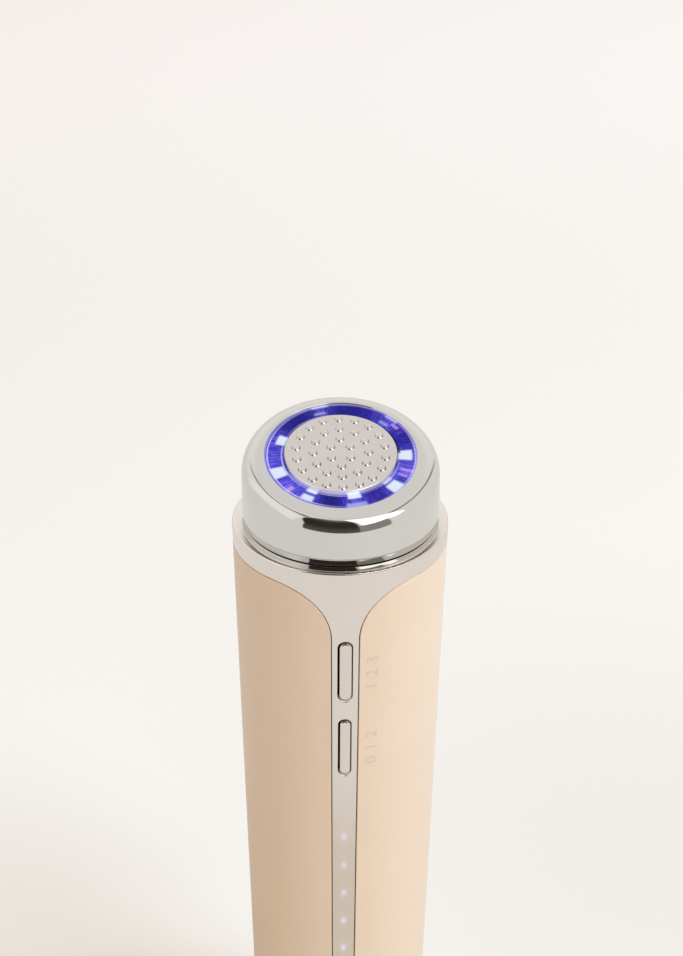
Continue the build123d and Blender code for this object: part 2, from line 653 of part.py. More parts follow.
def wire(points, bend, radius):
    """Insulated wire along straight runs joined by bends."""
    path = FilletPolyline(*points, radius=bend)
    start = Plane(origin=path.position_at(0), z_dir=path.tangent_at(0))
    return sweep(start * Circle(radius), path=path)


def battery_leads():
    """Two wires from the cell through the deck's window to the back of the board."""
    top = CELL_TOP + TAB_T
    low = CELL_Z - TAB_T
    turn = WINDOW_Z0 + LEAD_R + LEAD_RISE
    strap_r = CELL_R + FIT + STRAP_T
    behind = CELL_Y + math.sqrt(strap_r ** 2 - LEAD_X ** 2) + LEAD_CLEAR + LEAD_R
    plus = [
        (LEAD_X, CELL_Y, top),
        (LEAD_X, CELL_Y, turn),
        (LEAD_X, BOARD_BACK, turn),
    ]
    minus = [
        (-LEAD_X, CELL_Y, low),
        (-LEAD_X, CELL_Y, low - LEAD_BEND - 0.5),
        (-LEAD_X, behind, low - LEAD_BEND - 0.5),
        (-LEAD_X, behind, turn),
        (-LEAD_X, BOARD_BACK, turn),
    ]
    return Compound([wire(plus, LEAD_BEND, LEAD_R), wire(minus, LEAD_BEND, LEAD_R)])


# ---- base -----------------------------------------------------------------------------------

def port_outline(grow):
    """Stadium outline of the charging socket, grown by grow."""
    return SlotOverall(SOCKET_W + 2 * grow, SOCKET_H + 2 * grow)


def base_cap():
    """Silver cap that closes the handle, with a port in its floor and a lip for the sleeve."""
    z0 = FOOT_STAND
    outer = cone(z0, BASE_H)
    low_edge = outer.edges().filter_by(GeomType.CIRCLE).sort_by(Axis.Z)[0]
    outer = fillet(low_edge, BASE_ROUND)
    cap = outer - cone(FLOOR_TOP, BASE_H + 1, WALL)
    lip = cone(BASE_H - 1, BASE_H + LIP_H, WALL + FIT)
    lip = lip - cone(BASE_H - 2, BASE_H + LIP_H + 1, WALL + FIT + LIP_WALL)
    web = cone(BASE_H - 1, BASE_H, WALL / 2) - cone(BASE_H - 2, BASE_H + 1, WALL + FIT + LIP_WALL)
    cap = cap + lip + web
    groove = rod(FOOT_R_OUT + FIT, z0 - 1, FOOT_T) - rod(FOOT_R_IN - FIT, z0 - 2, FOOT_T + 1)
    cap = cap - groove
    for side in (-1, 1):
        x = side * BASE_SCREW_X
        cap = cap - rod(BASE_SCREW_R + SLIDE_FIT, 0, FLOOR_TOP + 1, x, BASE_SCREW_Y)
        seat = FOOT_T + SEAT + BASE_SCREW_HEAD_T
        cap = cap - rod(BASE_SCREW_HEAD_R + FIT, 0, seat, x, BASE_SCREW_Y)
    port = extrude(port_outline(PORT_MARGIN), amount=FLOOR_TOP + 1)
    cap = cap - port
    half = CHARGE_BOARD_W / 2
    y0 = CHARGE_BOARD_Y - SEAT
    y1 = CHARGE_BOARD_Y + CHARGE_BOARD_T + SEAT
    guide_top = FLOOR_TOP + GUIDE_H
    slot = block(-half - FIT, half + FIT, y0, y1, FLOOR_TOP, guide_top + 1)
    for side in (-1, 1):
        guide = block(-GUIDE_W / 2, GUIDE_W / 2, y0 - GUIDE_FRONT, y1 + GUIDE_BACK, FLOOR_TOP, guide_top)
        cap = cap + (Pos(side * half, 0, 0) * guide - slot)
    return cap


def foot_ring():
    """Rubber ring that the device stands on. It hides the base screws."""
    ring = rod(FOOT_R_OUT, 0, FOOT_T - SEAT) - rod(FOOT_R_IN, -1, FOOT_T + 1)
    low = ring.edges().filter_by(GeomType.CIRCLE).group_by(Axis.Z)[0]
    return fillet(low, 0.3)


def base_screws():
    """Two screws from the base cap up into the chassis."""
    screws = []
    z0 = FOOT_T + SEAT
    for side in (-1, 1):
        x = side * BASE_SCREW_X
        head_top = z0 + BASE_SCREW_HEAD_T
        head = rod(BASE_SCREW_HEAD_R, z0, head_top, x, BASE_SCREW_Y)
        shank = rod(BASE_SCREW_R, head_top - 0.1, z0 + BASE_SCREW_L, x, BASE_SCREW_Y)
        screws.append(head + shank)
    return Compound(screws)


def charge_socket():
    """Steel shell of the charging socket, open downwards."""
    outer = extrude(Pos(0, 0, SOCKET_Z0) * port_outline(0), amount=SOCKET_L)
    inner = extrude(Pos(0, 0, SOCKET_Z0 - SOCKET_END) * port_outline(-SOCKET_WALL), amount=SOCKET_L)
    return outer - inner


def charge_tongue():
    """Contact tongue in the middle of the socket, carried by the shell's closed end."""
    root = SOCKET_Z0 + SOCKET_L - SOCKET_END
    half = TONGUE_W / 2
    return block(-half, half, -TONGUE_T / 2, TONGUE_T / 2, SOCKET_Z0 + TONGUE_INSET, root)


def charge_board():
    """Small board that carries the charging socket, held in the base cap's guides."""
    half = CHARGE_BOARD_W / 2
    z0 = FLOOR_TOP + FIT
    back = CHARGE_BOARD_Y + CHARGE_BOARD_T
    return block(-half, half, CHARGE_BOARD_Y, back, z0, z0 + CHARGE_BOARD_H)


def charge_leads():
    """Two wires from the charging board under the deck and up to the main board."""
    leads = []
    drop = DECK_Z0 - LEAD_R - LEAD_RISE
    y = BOARD_BACK + LEAD_R + SEAT
    for side in (-1, 1):
        x = side * CHARGE_LEAD_X
        points = [(x, CHARGE_BOARD_Y, drop), (x, y, drop), (x, y, BOARD_Z0 + CHARGE_LEAD_OVER)]
        leads.append(wire(points, LEAD_BEND, LEAD_R))
    return Compound(leads)


# ---- head -----------------------------------------------------------------------------------

def head_ring():
    """Chromed ring between the ledge and the cap, upright below and flared above."""
    inner = BORE_R - 0.05
    top = RING_R - RING_FLARE
    profile = Polyline(
        (inner, 0),
        (RING_R, 0),
        (RING_R, RING_STRAIGHT),
        (top, RING_H),
        (inner, RING_H),
        close=True,
    )
    ring = revolve(Plane.XZ * make_face(profile), Axis.Z)
    return Pos(0, HEAD_Y, LEDGE_Z) * ring


def head_seal():
    """Black seal between ring and cap."""
    z0 = LEDGE_Z + RING_H
    seal = rod(RING_R - SEAL_SINK, z0, z0 + SEAL_H, y=HEAD_Y)
    return seal - rod(BORE_R, z0 - 1, z0 + 1, y=HEAD_Y)


def head_cap():
    """Chromed outer electrode: a round wall with a skirt below and a slanted face above."""
    reach = FACE_H + 12
    neck = HEAD_R - SKIRT_NECK
    profile = Polyline(
        (0, 0),
        (SKIRT_R - 0.05, 0),
        (SKIRT_R, 0.05),
        (neck, SKIRT_H),
        (HEAD_R - 0.05, SKIRT_H + 0.06),
        (HEAD_R, SKIRT_H + 0.12),
        (HEAD_R, reach),
        (0, reach),
        close=True,
    )
    outer = Pos(0, HEAD_Y, CAP_Z0) * revolve(Plane.XZ * make_face(profile), Axis.Z)
    outer = outer & below_face(0)
    rim = outer.edges().sort_by(Axis.Z)[-1]
    outer = fillet(rim, FACE_ROUND)
    inner = rod(HEAD_R - CAP_WALL, CAP_Z0 - 1, CAP_Z0 + reach, y=HEAD_Y) & below_face(FACE_WALL)
    inner_rim = inner.edges().sort_by(Axis.Z)[-1]
    inner = fillet(inner_rim, FACE_ROUND_IN)
    recess = face_ring(LIGHT_R_OUT + 0.1, 0, -FACE_WALL - 2, 2)
    cap = outer - inner - recess
    lip = [
        edge
        for edge in cap.edges().filter_by(GeomType.CIRCLE)
        if abs(FACE.to_local_coords(edge.center()).Z) < 0.01
    ]
    return fillet(lip, 0.25)


def light_ring():
    """Clear ring round the centre electrode, with a hidden flange under the cap's face."""
    top = -LIGHT_SINK
    low = top - LIGHT_T
    ring = face_ring(LIGHT_R_OUT, LIGHT_R_IN, low, top)
    flange = face_ring(LIGHT_FLANGE_R, LIGHT_R_IN, low - LIGHT_FLANGE_T, low)
    return ring + flange


def led_board():
    """Round board below the light ring."""
    top = -LED_BOARD_DEPTH
    return face_ring(LED_BOARD_R_OUT, LED_BOARD_R_IN, top - LED_BOARD_T, top)


def led_chips():
    """Blue LEDs, evenly spaced on their board."""
    chips = []
    for index in range(LED_COUNT):
        angle = LED_FIRST + index * 360.0 / LED_COUNT
        chip = Pos(LED_PITCH_R, 0, -LED_BOARD_DEPTH + LED_T / 2) * Box(LED_L, LED_W, LED_T)
        chips.append(FACE * (Rot(0, 0, angle) * chip))
    return Compound(chips)


def bump_places():
    """Places of the bumps: oval rings, each ring's bumps spaced evenly along it."""
    places = []
    room = ELECTRODE_R - BUMP_MARGIN - BUMP_FIRST[0]
    rings = 1 + int(room / BUMP_PITCH[0] + 0.01)
    for ring in range(rings):
        side = BUMP_FIRST[0] + ring * BUMP_PITCH[0]
        long = BUMP_FIRST[1] + ring * BUMP_PITCH[1]
        count = BUMP_STEP * (ring + 1)
        oval = Edge.make_ellipse(long, side)
        for index in range(count):
            point = oval.position_at(index / count)
            places.append((point.Y, point.X))
    return places


def centre_electrode():
    """Raised round electrode with massage bumps on its face and a skirt below."""
    top = ELECTRODE_RISE
    disc = face_ring(ELECTRODE_R, 0, top - ELECTRODE_T, top)
    rim = disc.edges().filter_by(GeomType.CIRCLE).sort_by(Axis.Z)[-1]
    disc = fillet(rim, ELECTRODE_ROUND)
    low = top - ELECTRODE_T - ELECTRODE_SKIRT
    skirt = face_ring(ELECTRODE_R, ELECTRODE_R - ELECTRODE_SKIRT_WALL, low, top - ELECTRODE_T + 0.2)
    electrode = disc + skirt
    ball_r = (BUMP_R ** 2 + BUMP_H ** 2) / (2 * BUMP_H)
    ball = Sphere(ball_r) & (Pos(0, 0, ball_r) * Box(4 * ball_r, 4 * ball_r, 2 * (BUMP_H + 0.15)))
    bumps = []
    for x, y in bump_places():
        bumps.append(FACE * (Pos(x, y, top + BUMP_H - ball_r) * ball))
    return electrode + bumps


def head_frame():
    """Plastic core of the head: tube, flange, screw bosses, slanted deck, hub and rim."""
    tube_top = LEDGE_Z + FACE_H + 10
    tube = rod(TUBE_R, FRAME_Z0, tube_top, y=HEAD_Y) & below_face(DECK_DEPTH + DECK_THICK)
    tube = tube - rod(TUBE_R - TUBE_WALL, FRAME_Z0 - 1, tube_top, y=HEAD_Y)
    deck = rod(TUBE_R, FRAME_Z0, tube_top, y=HEAD_Y) & below_face(DECK_DEPTH)
    deck = deck - below_face(DECK_DEPTH + DECK_THICK)
    flange = rod(FRAME_FLANGE_R, FRAME_Z0, FRAME_Z0 + FRAME_FLANGE_T, y=FRAME_FLANGE_Y)
    clear = SPINE_HALF_TOP + FUNNEL_R - FIT
    passage = rod(LIP_PASS_R, FRAME_Z0 - 1, FRAME_Z0 + 5)
    passage = passage + block(-clear, clear, -BODY_R, 0, FRAME_Z0 - 1, FRAME_Z0 + 5)
    flange = flange & passage
    flange = flange - rod(TUBE_R - TUBE_WALL, FRAME_Z0 - 1, FRAME_Z0 + 5, y=HEAD_Y)
    frame = tube + deck + flange
    for angle in BOSS_ANGLES:
        x = BOSS_PITCH * math.cos(math.radians(angle))
        y = HEAD_Y + BOSS_PITCH * math.sin(math.radians(angle))
        frame = frame + rod(BOSS_R, FRAME_Z0, FRAME_Z0 + HEAD_SCREW_L, x, y)
        frame = frame - rod(HEAD_SCREW_R + SLIDE_FIT, FRAME_Z0 - 1, FRAME_Z0 + HEAD_SCREW_L - 1, x, y)
    hub = face_ring(HUB_R, 0, -DECK_DEPTH - 0.2, ELECTRODE_RISE - ELECTRODE_T - SEAT)
    rim_top = -LIGHT_SINK - LIGHT_T - LIGHT_FLANGE_T - SEAT
    rim = face_ring(RIM_R_OUT, RIM_R_IN, -DECK_DEPTH - 0.2, rim_top)
    frame = frame + hub + rim
    frame = frame - face_ring(HUB_HOLE_R, 0, -DECK_DEPTH - 6, 2)
    half = RIBBON_W / 2 + 0.4
    slot_z = FRAME_Z0 + HEAD_SCREW_L + 1
    slot = block(-half, half, RIBBON_Y - FIT, RIBBON_Y + RIBBON_T + FIT, slot_z, tube_top)
    slot = slot & below_face(DECK_DEPTH - 0.1)
    hole = Rot(0, 90, 0) * Cylinder(CONTACT_PIN_R + FIT, 4 * TUBE_WALL)
    return frame - slot - Pos(-TUBE_R, HEAD_Y, CONTACT_Z) * hole


def electrode_pin():
    """Gold pin that feeds the centre electrode through the hub."""
    return face_ring(PIN_R, 0, -PIN_DEPTH, ELECTRODE_RISE - ELECTRODE_T)


def head_base():
    """Plate that closes the head from below, with the motor's socket and a lug."""
    plate = rod(BASE_PLATE_R, PLATE_Z0, FRAME_Z0)
    socket_r = MOTOR_R + DAMPER_T + 1.2
    plate = plate + rod(socket_r, MOTOR_Z0 + SOCKET_SHORT, FRAME_Z0, y=MOTOR_Y)
    plate = plate - rod(MOTOR_R + DAMPER_T, MOTOR_Z0 - 5, FRAME_Z0 + 1, y=MOTOR_Y)
    lug_y1 = DECK_BACK + LUG_T
    plate = plate + block(-LUG_HALF, LUG_HALF, DECK_BACK, lug_y1, DECK_Z1 - LUG_H, FRAME_Z0)
    hole = rod_y(CHASSIS_SCREW_R + SLIDE_FIT, DECK_BACK - 1, lug_y1 - 2 * FIT, z=CHASSIS_SCREW_Z)
    plate = plate - hole
    for angle in BOSS_ANGLES:
        x = BOSS_PITCH * math.cos(math.radians(angle))
        y = HEAD_Y + BOSS_PITCH * math.sin(math.radians(angle))
        plate = plate - rod(HEAD_SCREW_R + SLIDE_FIT, PLATE_Z0 - 1, FRAME_Z0 + 1, x, y)
    back = BOARD_BACK + 2 * WIRE_R + FIT
    slot = block(-HALF_SLOT, HALF_SLOT, BOARD_BACK - FIT, back, PLATE_Z0 - 1, FRAME_Z0 + 1)
    return plate - slot


def cap_contact():
    """Springy contact that feeds the chromed cap through the wall of the head frame."""
    half = CONTACT_W / 2
    z0 = CONTACT_Z - CONTACT_H / 2
    z1 = CONTACT_Z + CONTACT_H / 2
    pad = rod(HEAD_R - CAP_WALL - SEAT, z0, z1, y=HEAD_Y)
    pad = pad - rod(TUBE_R + SEAT, z0 - 1, z1 + 1, y=HEAD_Y)
    pad = pad & block(-HEAD_R, -HEAD_R / 2, HEAD_Y - half, HEAD_Y + half, z0, z1)
    root = 0.3
    length = root + TUBE_WALL + CONTACT_PIN_OUT
    pin = Rot(0, 90, 0) * Cylinder(CONTACT_PIN_R, length)
    return pad + Pos(-TUBE_R - root + length / 2, HEAD_Y, CONTACT_Z) * pin


def electrode_leads():
    """Two wires from the electrodes' contacts down to the back of the main board."""
    y = BOARD_BACK + WIRE_R
    foot = FACE.from_local_coords(Vector(0, 0, -PIN_DEPTH))
    turn = CONTACT_Z - 2 * WIRE_BEND
    low = CONTACT_Z - WIRE_BEND
    step_y = BOARD_BACK + WIRE_STEP
    centre = [
        (foot.X, foot.Y, foot.Z - WIRE_R * math.tan(math.radians(FACE_TILT))),
        (foot.X, foot.Y, turn),
        (WIRE_X, step_y, turn),
        (WIRE_X, y, turn),
        (WIRE_X, y, BOARD_Z1 - WIRE_OVER),
    ]
    inner_x = -TUBE_R + TUBE_WALL + CONTACT_PIN_OUT
    outer = [
        (inner_x, HEAD_Y, CONTACT_Z),
        (inner_x + 2.5 * WIRE_BEND, HEAD_Y, CONTACT_Z),
        (-WIRE_X, step_y, low),
        (-WIRE_X, y, low),
        (-WIRE_X, y, BOARD_Z1 - WIRE_OVER),
    ]
    return Compound([wire(centre, WIRE_BEND, WIRE_R), wire(outer, WIRE_BEND, WIRE_R)])


def head_screws():
    """Four screws from the base plate up into the head frame's bosses."""
    screws = []
    for angle in BOSS_ANGLES:
        x = BOSS_PITCH * math.cos(math.radians(angle))
        y = HEAD_Y + BOSS_PITCH * math.sin(math.radians(angle))
        head = rod(HEAD_SCREW_HEAD_R, PLATE_Z0 - HEAD_SCREW_HEAD_T, PLATE_Z0, x, y)
        shank = rod(HEAD_SCREW_R, PLATE_Z0 - 0.1, PLATE_Z0 + HEAD_SCREW_L, x, y)
        screws.append(head + shank)
    return Compound(screws)


def chassis_screw():
    """Screw that ties the chassis deck to the head's base plate."""
    head = rod_y(CHASSIS_SCREW_HEAD_R, DECK_Y - CHASSIS_SCREW_HEAD_T, DECK_Y, z=CHASSIS_SCREW_Z)
    tip = DECK_BACK + LUG_T - 2 * FIT - SCREW_END / 2
    shank = rod_y(CHASSIS_SCREW_R, DECK_Y - 0.1, tip, z=CHASSIS_SCREW_Z)
    return head + shank


def head_ribbon():
    """Flat cable from the main board's back up to the LED board."""
    half = RIBBON_W / 2
    back = RIBBON_Y + RIBBON_T
    strip = block(-half, half, RIBBON_Y, back, BOARD_Z1 - RIBBON_OVER, LEDGE_Z + FACE_H)
    return strip & below_face(LED_BOARD_DEPTH + LED_BOARD_T + SEAT / 2)


# ---- vibration motor ------------------------------------------------------------------------

def motor_can():
    """Steel can of the vibration motor, with the shaft's bearing bore in its top."""
    can = rod(MOTOR_R, MOTOR_Z0, MOTOR_Z1, y=MOTOR_Y)
    can = fillet(can.edges().filter_by(GeomType.CIRCLE), 0.4)
    return can - rod(SHAFT_R + RUN_FIT, MOTOR_Z0 + SHAFT_SEAT - FIT, MOTOR_Z1 + 1, y=MOTOR_Y)


def motor_damper():
    """Rubber sleeve that holds the motor in its socket."""
    z0 = MOTOR_Z0 + SOCKET_SHORT
    z1 = FRAME_Z0 + DAMPER_OUT
    sleeve = rod(MOTOR_R + DAMPER_T - SNUG, z0, z1, y=MOTOR_Y)
    return sleeve - rod(MOTOR_R + SNUG, z0 - 1, z1 + 1, y=MOTOR_Y)


def motor_leads():
    """Two wires from the motor through the deck to the back of the main board."""
    leads = []
    for side, z in ((1, MOTOR_WIRE_Z[0]), (-1, MOTOR_WIRE_Z[1])):
        x = side * MOTOR_WIRE_PITCH
        points = [
            (x, MOTOR_Y, MOTOR_Z0),
            (x, MOTOR_Y, z),
            (MOTOR_WIRE_X, MOTOR_Y - MOTOR_R - side * WIRE_R, z),
            (MOTOR_WIRE_X, BOARD_BACK, z),
        ]
        leads.append(wire(points, WIRE_BEND, WIRE_R))
    return Compound(leads)


def motor_shaft():
    """Motor shaft."""
    top = MOTOR_Z1 + WEIGHT_GAP + WEIGHT_H + SHAFT_END
    return rod(SHAFT_R, MOTOR_Z0 + SHAFT_SEAT, top, y=MOTOR_Y)


def eccentric_weight():
    """Half-round weight on the motor shaft, which makes the head vibrate."""
    z0 = MOTOR_Z1 + WEIGHT_GAP
    z1 = z0 + WEIGHT_H
    reach = 2 * WEIGHT_R
    half = rod(WEIGHT_R, z0, z1, y=MOTOR_Y) & block(-reach, reach, MOTOR_Y, MOTOR_Y + reach, z0, z1)
    weight = half + rod(SHAFT_R + WEIGHT_HUB, z0, z1, y=MOTOR_Y)
    return weight - rod(SHAFT_R, z0 - 1, z1 + 1, y=MOTOR_Y)


# ---- write every piece ----------------------------------------------------------------------

PIECES = {
    "collar_spine": collar_spine,
    "handle_sleeve": handle_sleeve,
    "mode_button": lambda: button(0),
    "level_button": lambda: button(1),
    "mode_plunger": lambda: plunger(0),
    "level_plunger": lambda: plunger(1),
    "switch_bodies": switch_bodies,
    "light_baffle": light_baffle,
    "light_pipes": light_pipes,
    "indicator_leds": indicator_leds,
    "main_board": main_board,
    "board_chips": board_chips,
    "pulse_transformer": pulse_transformer,
    "board_screws": board_screws,
    "chassis": chassis,
    "chassis_screw": chassis_screw,
    "battery_cell": battery_cell,
    "battery_straps": battery_straps,
    "battery_tabs": battery_tabs,
    "battery_leads": battery_leads,
    "base_cap": base_cap,
    "base_screws": base_screws,
    "foot_ring": foot_ring,
    "charge_socket": charge_socket,
    "charge_tongue": charge_tongue,
    "charge_board": charge_board,
    "charge_leads": charge_leads,
    "head_ring": head_ring,
    "head_seal": head_seal,
    "head_cap": head_cap,
    "light_ring": light_ring,
    "led_board": led_board,
    "led_chips": led_chips,
    "centre_electrode": centre_electrode,
    "electrode_pin": electrode_pin,
    "head_frame": head_frame,
    "head_base": head_base,
    "head_screws": head_screws,
    "head_ribbon": head_ribbon,
    "cap_contact": cap_contact,
    "electrode_leads": electrode_leads,
    "motor_can": motor_can,
    "motor_damper": motor_damper,
    "motor_leads": motor_leads,
    "motor_shaft": motor_shaft,
    "eccentric_weight": eccentric_weight,
}

for name, make in PIECES.items():
    piece = make()
    export_step(piece, f"parts/{name}.step")
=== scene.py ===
# %% [markdown]
# # A facial toning wand
# This wand is a slim, tapered handle with a chromed, slanted head. The solids come from CAD, so
# every size is settled. Here the visible skins get their curves, their finishes and their light.

# %% Load the solids
import math

import bmesh
import bpy
from mathutils import Matrix, Vector


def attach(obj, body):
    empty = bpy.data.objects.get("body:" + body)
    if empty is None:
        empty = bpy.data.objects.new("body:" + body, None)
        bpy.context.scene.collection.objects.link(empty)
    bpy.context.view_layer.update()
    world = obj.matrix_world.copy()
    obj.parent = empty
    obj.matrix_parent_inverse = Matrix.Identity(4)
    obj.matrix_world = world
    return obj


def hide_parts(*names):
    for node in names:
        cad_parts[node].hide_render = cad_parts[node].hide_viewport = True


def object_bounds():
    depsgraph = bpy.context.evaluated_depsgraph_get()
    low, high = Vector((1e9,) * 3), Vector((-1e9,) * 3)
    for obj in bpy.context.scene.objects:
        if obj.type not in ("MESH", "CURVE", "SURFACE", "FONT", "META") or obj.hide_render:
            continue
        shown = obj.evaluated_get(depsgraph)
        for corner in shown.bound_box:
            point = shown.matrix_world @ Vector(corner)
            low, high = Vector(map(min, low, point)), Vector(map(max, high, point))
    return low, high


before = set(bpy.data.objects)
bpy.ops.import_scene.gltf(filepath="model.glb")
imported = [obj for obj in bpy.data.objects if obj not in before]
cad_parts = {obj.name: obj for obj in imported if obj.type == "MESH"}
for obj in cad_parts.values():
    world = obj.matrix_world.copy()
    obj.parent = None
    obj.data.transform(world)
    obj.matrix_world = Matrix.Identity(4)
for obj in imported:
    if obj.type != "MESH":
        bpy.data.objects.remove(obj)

cad_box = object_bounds()
MM = 0.001
print("nodes:", len(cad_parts), "box:", [round(v / MM, 1) for v in cad_box[1] - cad_box[0]])

# %% [markdown]
# ## Camera
# A long lens stands about 0.7 m away and looks down by 30 degrees, as in a catalogue shot. The
# handle's foot stays below the frame. The lens is long, so the head shows hardly any perspective.

# %% Camera
TURN = math.radians(3.15)
LENS = 115.33
CAMERA_PLACE = (-0.02913, -0.53380, 0.46560)
CAMERA_RIGHT = (0.99999161, 0.0020361, 0.00355339)  # the camera's axes before the turn
CAMERA_UP = (-0.0040954, 0.49716381, 0.86764703)


def turned(x, y, z):
    """A direction turned about the handle's axis, from the camera's axes to the wand's."""
    c, s = math.cos(TURN), math.sin(TURN)
    return Vector((x * c + y * s, -x * s + y * c, z))


def make_camera():
    """The portrait camera, aimed at the head."""
    data = bpy.data.cameras.new("catalogue_lens")
    data.sensor_width = 36.0
    data.lens = LENS
    data.clip_start = 0.01
    data.clip_end = 20.0
    camera = bpy.data.objects.new("catalogue_camera", data)
    bpy.context.scene.collection.objects.link(camera)
    right, up = turned(*CAMERA_RIGHT), turned(*CAMERA_UP)
    axes = Matrix((right, up, right.cross(up))).transposed()
    camera.matrix_world = Matrix.Translation(CAMERA_PLACE) @ axes.to_4x4()
    bpy.context.scene.camera = camera
    return camera


camera = make_camera()
print("camera at", [round(v, 3) for v in camera.matrix_world.translation])

# %% [markdown]
# ## Shader maths
# A finish is a small network of nodes. Writing it as plain Python sums keeps it readable, so one
# class wraps a socket and adds a Math node for each operator, and another makes any other node.
# The handle is a cone, so its few sizes come first: finishes and pieces both need them.

# %% Sizes of the handle
LEDGE = 150.0 * MM  # height of the flat ledge under the head
LEDGE_ROUND = 0.4 * MM  # rounding of its outer edge
HEAD_Y = -1.4 * MM  # the head's axis stands this far in front of the handle's
CONE_R = 21.95 * MM  # radius of the handle at the ledge
TAPER = 0.03  # the radius lost for each length of the handle
BLACK = (0.0, 0.0, 0.0)
print("radius at the foot (mm):", round((CONE_R - LEDGE * TAPER) / MM, 2))


# %% One value in a shader
class Value:
    """One number or vector in a shader. Sums with it add Math nodes."""

    def __init__(self, tree, socket):
        self.tree = tree
        self.socket = socket

    def sum(self, operation, first, second=None, clamp=False):
        node = self.tree.nodes.new("ShaderNodeMath")
        node.operation = operation
        node.use_clamp = clamp
        for place, item in enumerate((first, second)):
            if isinstance(item, Value):
                self.tree.links.new(item.socket, node.inputs[place])
            elif item is not None:
                node.inputs[place].default_value = item
        return Value(self.tree, node.outputs[0])

    def __add__(self, other):
        return self.sum("ADD", self, other)

    def __radd__(self, other):
        return self.sum("ADD", other, self)

    def __sub__(self, other):
        return self.sum("SUBTRACT", self, other)

    def __rsub__(self, other):
        return self.sum("SUBTRACT", other, self)

    def __mul__(self, other):
        return self.sum("MULTIPLY", self, other)

    def __rmul__(self, other):
        return self.sum("MULTIPLY", other, self)

    def __truediv__(self, other):
        return self.sum("DIVIDE", self, other)

    def __rtruediv__(self, other):
        return self.sum("DIVIDE", other, self)

    def __neg__(self):
        return self.sum("MULTIPLY", self, -1.0)

    def __lt__(self, other):
        return self.sum("LESS_THAN", self, other)

    def __gt__(self, other):
        return self.sum("GREATER_THAN", self, other)

    def clamp(self):
        return self.sum("ADD", self, 0.0, clamp=True)

    def most(self, other):
        return self.sum("MAXIMUM", self, other)

    def size(self):
        return self.sum("ABSOLUTE", self)

    def root(self):
        return self.sum("SQRT", self)

    def exp(self):
        return self.sum("EXPONENT", self)

    def bell(self, width):
        """1 at zero, falling off smoothly to either side over about width."""
        scaled = self * (1.0 / width)
        return (scaled * scaled * -1.0).exp()


print("values can be added, multiplied and compared")


# %% A tree of nodes
class Shader:
    """A node tree with one method that adds any node."""

    def __init__(self, tree):
        self.tree = tree

    def node(self, kind, settings=None, output=0, **inputs):
        """Any node: its settings first, then its sockets by name, or by number as i0, i1."""
        made = self.tree.nodes.new(kind)
        for name, value in (settings or {}).items():
            setattr(made, name, value)
        for name, value in inputs.items():
            key = int(name[1:]) if name[0] == "i" and name[1:].isdigit() else name.replace("_", " ")
            self.put(made.inputs[key], value)
        return Value(self.tree, made.outputs[output])

    def put(self, socket, value):
        """Link a value to a socket, or set the socket to a constant."""
        if isinstance(value, Value):
            self.tree.links.new(value.socket, socket)
        elif isinstance(value, (tuple, list)) and len(value) == 3 and socket.type == "RGBA":
            socket.default_value = (*value, 1.0)
        else:
            socket.default_value = value

    def mix(self, factor, first, second):
        """Blend of two colours."""
        node = self.tree.nodes.new("ShaderNodeMix")
        node.data_type = "RGBA"
        for place, item in ((0, factor), (6, first), (7, second)):
            self.put(node.inputs[place], item)
        return Value(self.tree, node.outputs[2])

    def ease(self, value, low, high, start=0.0, end=1.0):
        """Smooth step of value from low to high, going from start to end."""
        return self.node(
            "ShaderNodeMapRange",
            {"interpolation_type": "SMOOTHSTEP", "clamp": True},
            Value=value,
            From_Min=low,
            From_Max=high,
            To_Min=start,
            To_Max=end,
        )

    def split(self, vector):
        """The three numbers of a vector."""
        made = self.node("ShaderNodeSeparateXYZ", Vector=vector)
        outputs = made.socket.node.outputs
        return [Value(self.tree, outputs[place]) for place in range(3)]

    def noise(self, scale, detail=2.0, roughness=0.5, vector=None):
        """Cloudy noise from 0 to 1."""
        where = self.place() if vector is None else vector
        return self.node(
            "ShaderNodeTexNoise", Vector=where, Scale=scale, Detail=detail, Roughness=roughness
        )

    def place(self):
        """Object coordinates, in metres."""
        return self.node("ShaderNodeTexCoord", output=3)

    def facing(self):
        """The direction in which the surface faces."""
        return self.node("ShaderNodeNewGeometry", output="Normal")

    def unit(self, vector):
        """The same direction with a length of 1."""
        return self.node("ShaderNodeVectorMath", {"operation": "NORMALIZE"}, i0=vector)

    def merge(self, x, y, z):
        """A vector of three numbers."""
        return self.node("ShaderNodeCombineXYZ", X=x, Y=y, Z=z)


print("any node can be added")


# %% A finish
class Finish(Shader):
    """A material with its Principled shader ready."""

    def __init__(self, name, **numbers):
        self.material = bpy.data.materials.new(name)
        self.material.use_nodes = True
        super().__init__(self.material.node_tree)
        self.surface = self.tree.nodes["Principled BSDF"]
        self.set(**numbers)

    def set(self, **inputs):
        for name, value in inputs.items():
            self.put(self.surface.inputs[name.replace("_", " ")], value)

    def bump(self, height, strength=1.0, distance=0.0001, **base):
        """Raise the surface by a height that varies over it."""
        normal = self.node("ShaderNodeBump", Height=height, Strength=strength, Distance=distance, **base)
        self.set(Normal=normal)


print("finishes can be made")

# %% [markdown]
# ## Chrome
# The cap, the ring under it and the centre electrode are polished metal. Chrome has no colour of
# its own: it shows the room. So the finish is a metallic surface with very low roughness. A trace
# of uneven polish keeps its reflections from looking computed. The narrow slopes of the groove at
# the head's foot are slightly hollow and a darker grey, and their shading normal leans a little
# upwards. The gap between the two slopes is painted black, a painted shade. The ring's foot is
# painted paler than the cap, a painted light line.

# %% Chrome finish
GROOVE_TOP = LEDGE + 2.88 * MM
RING_EDGE = LEDGE + 0.2 * MM  # the ring's foot, painted paler than the cap: a painted light line
GAP_TOP = LEDGE + 1.5 * MM
GAP_R = 19.37 * MM  # inside this radius the gap is painted black: a painted shade
SLOPE_LEAN = 0.13

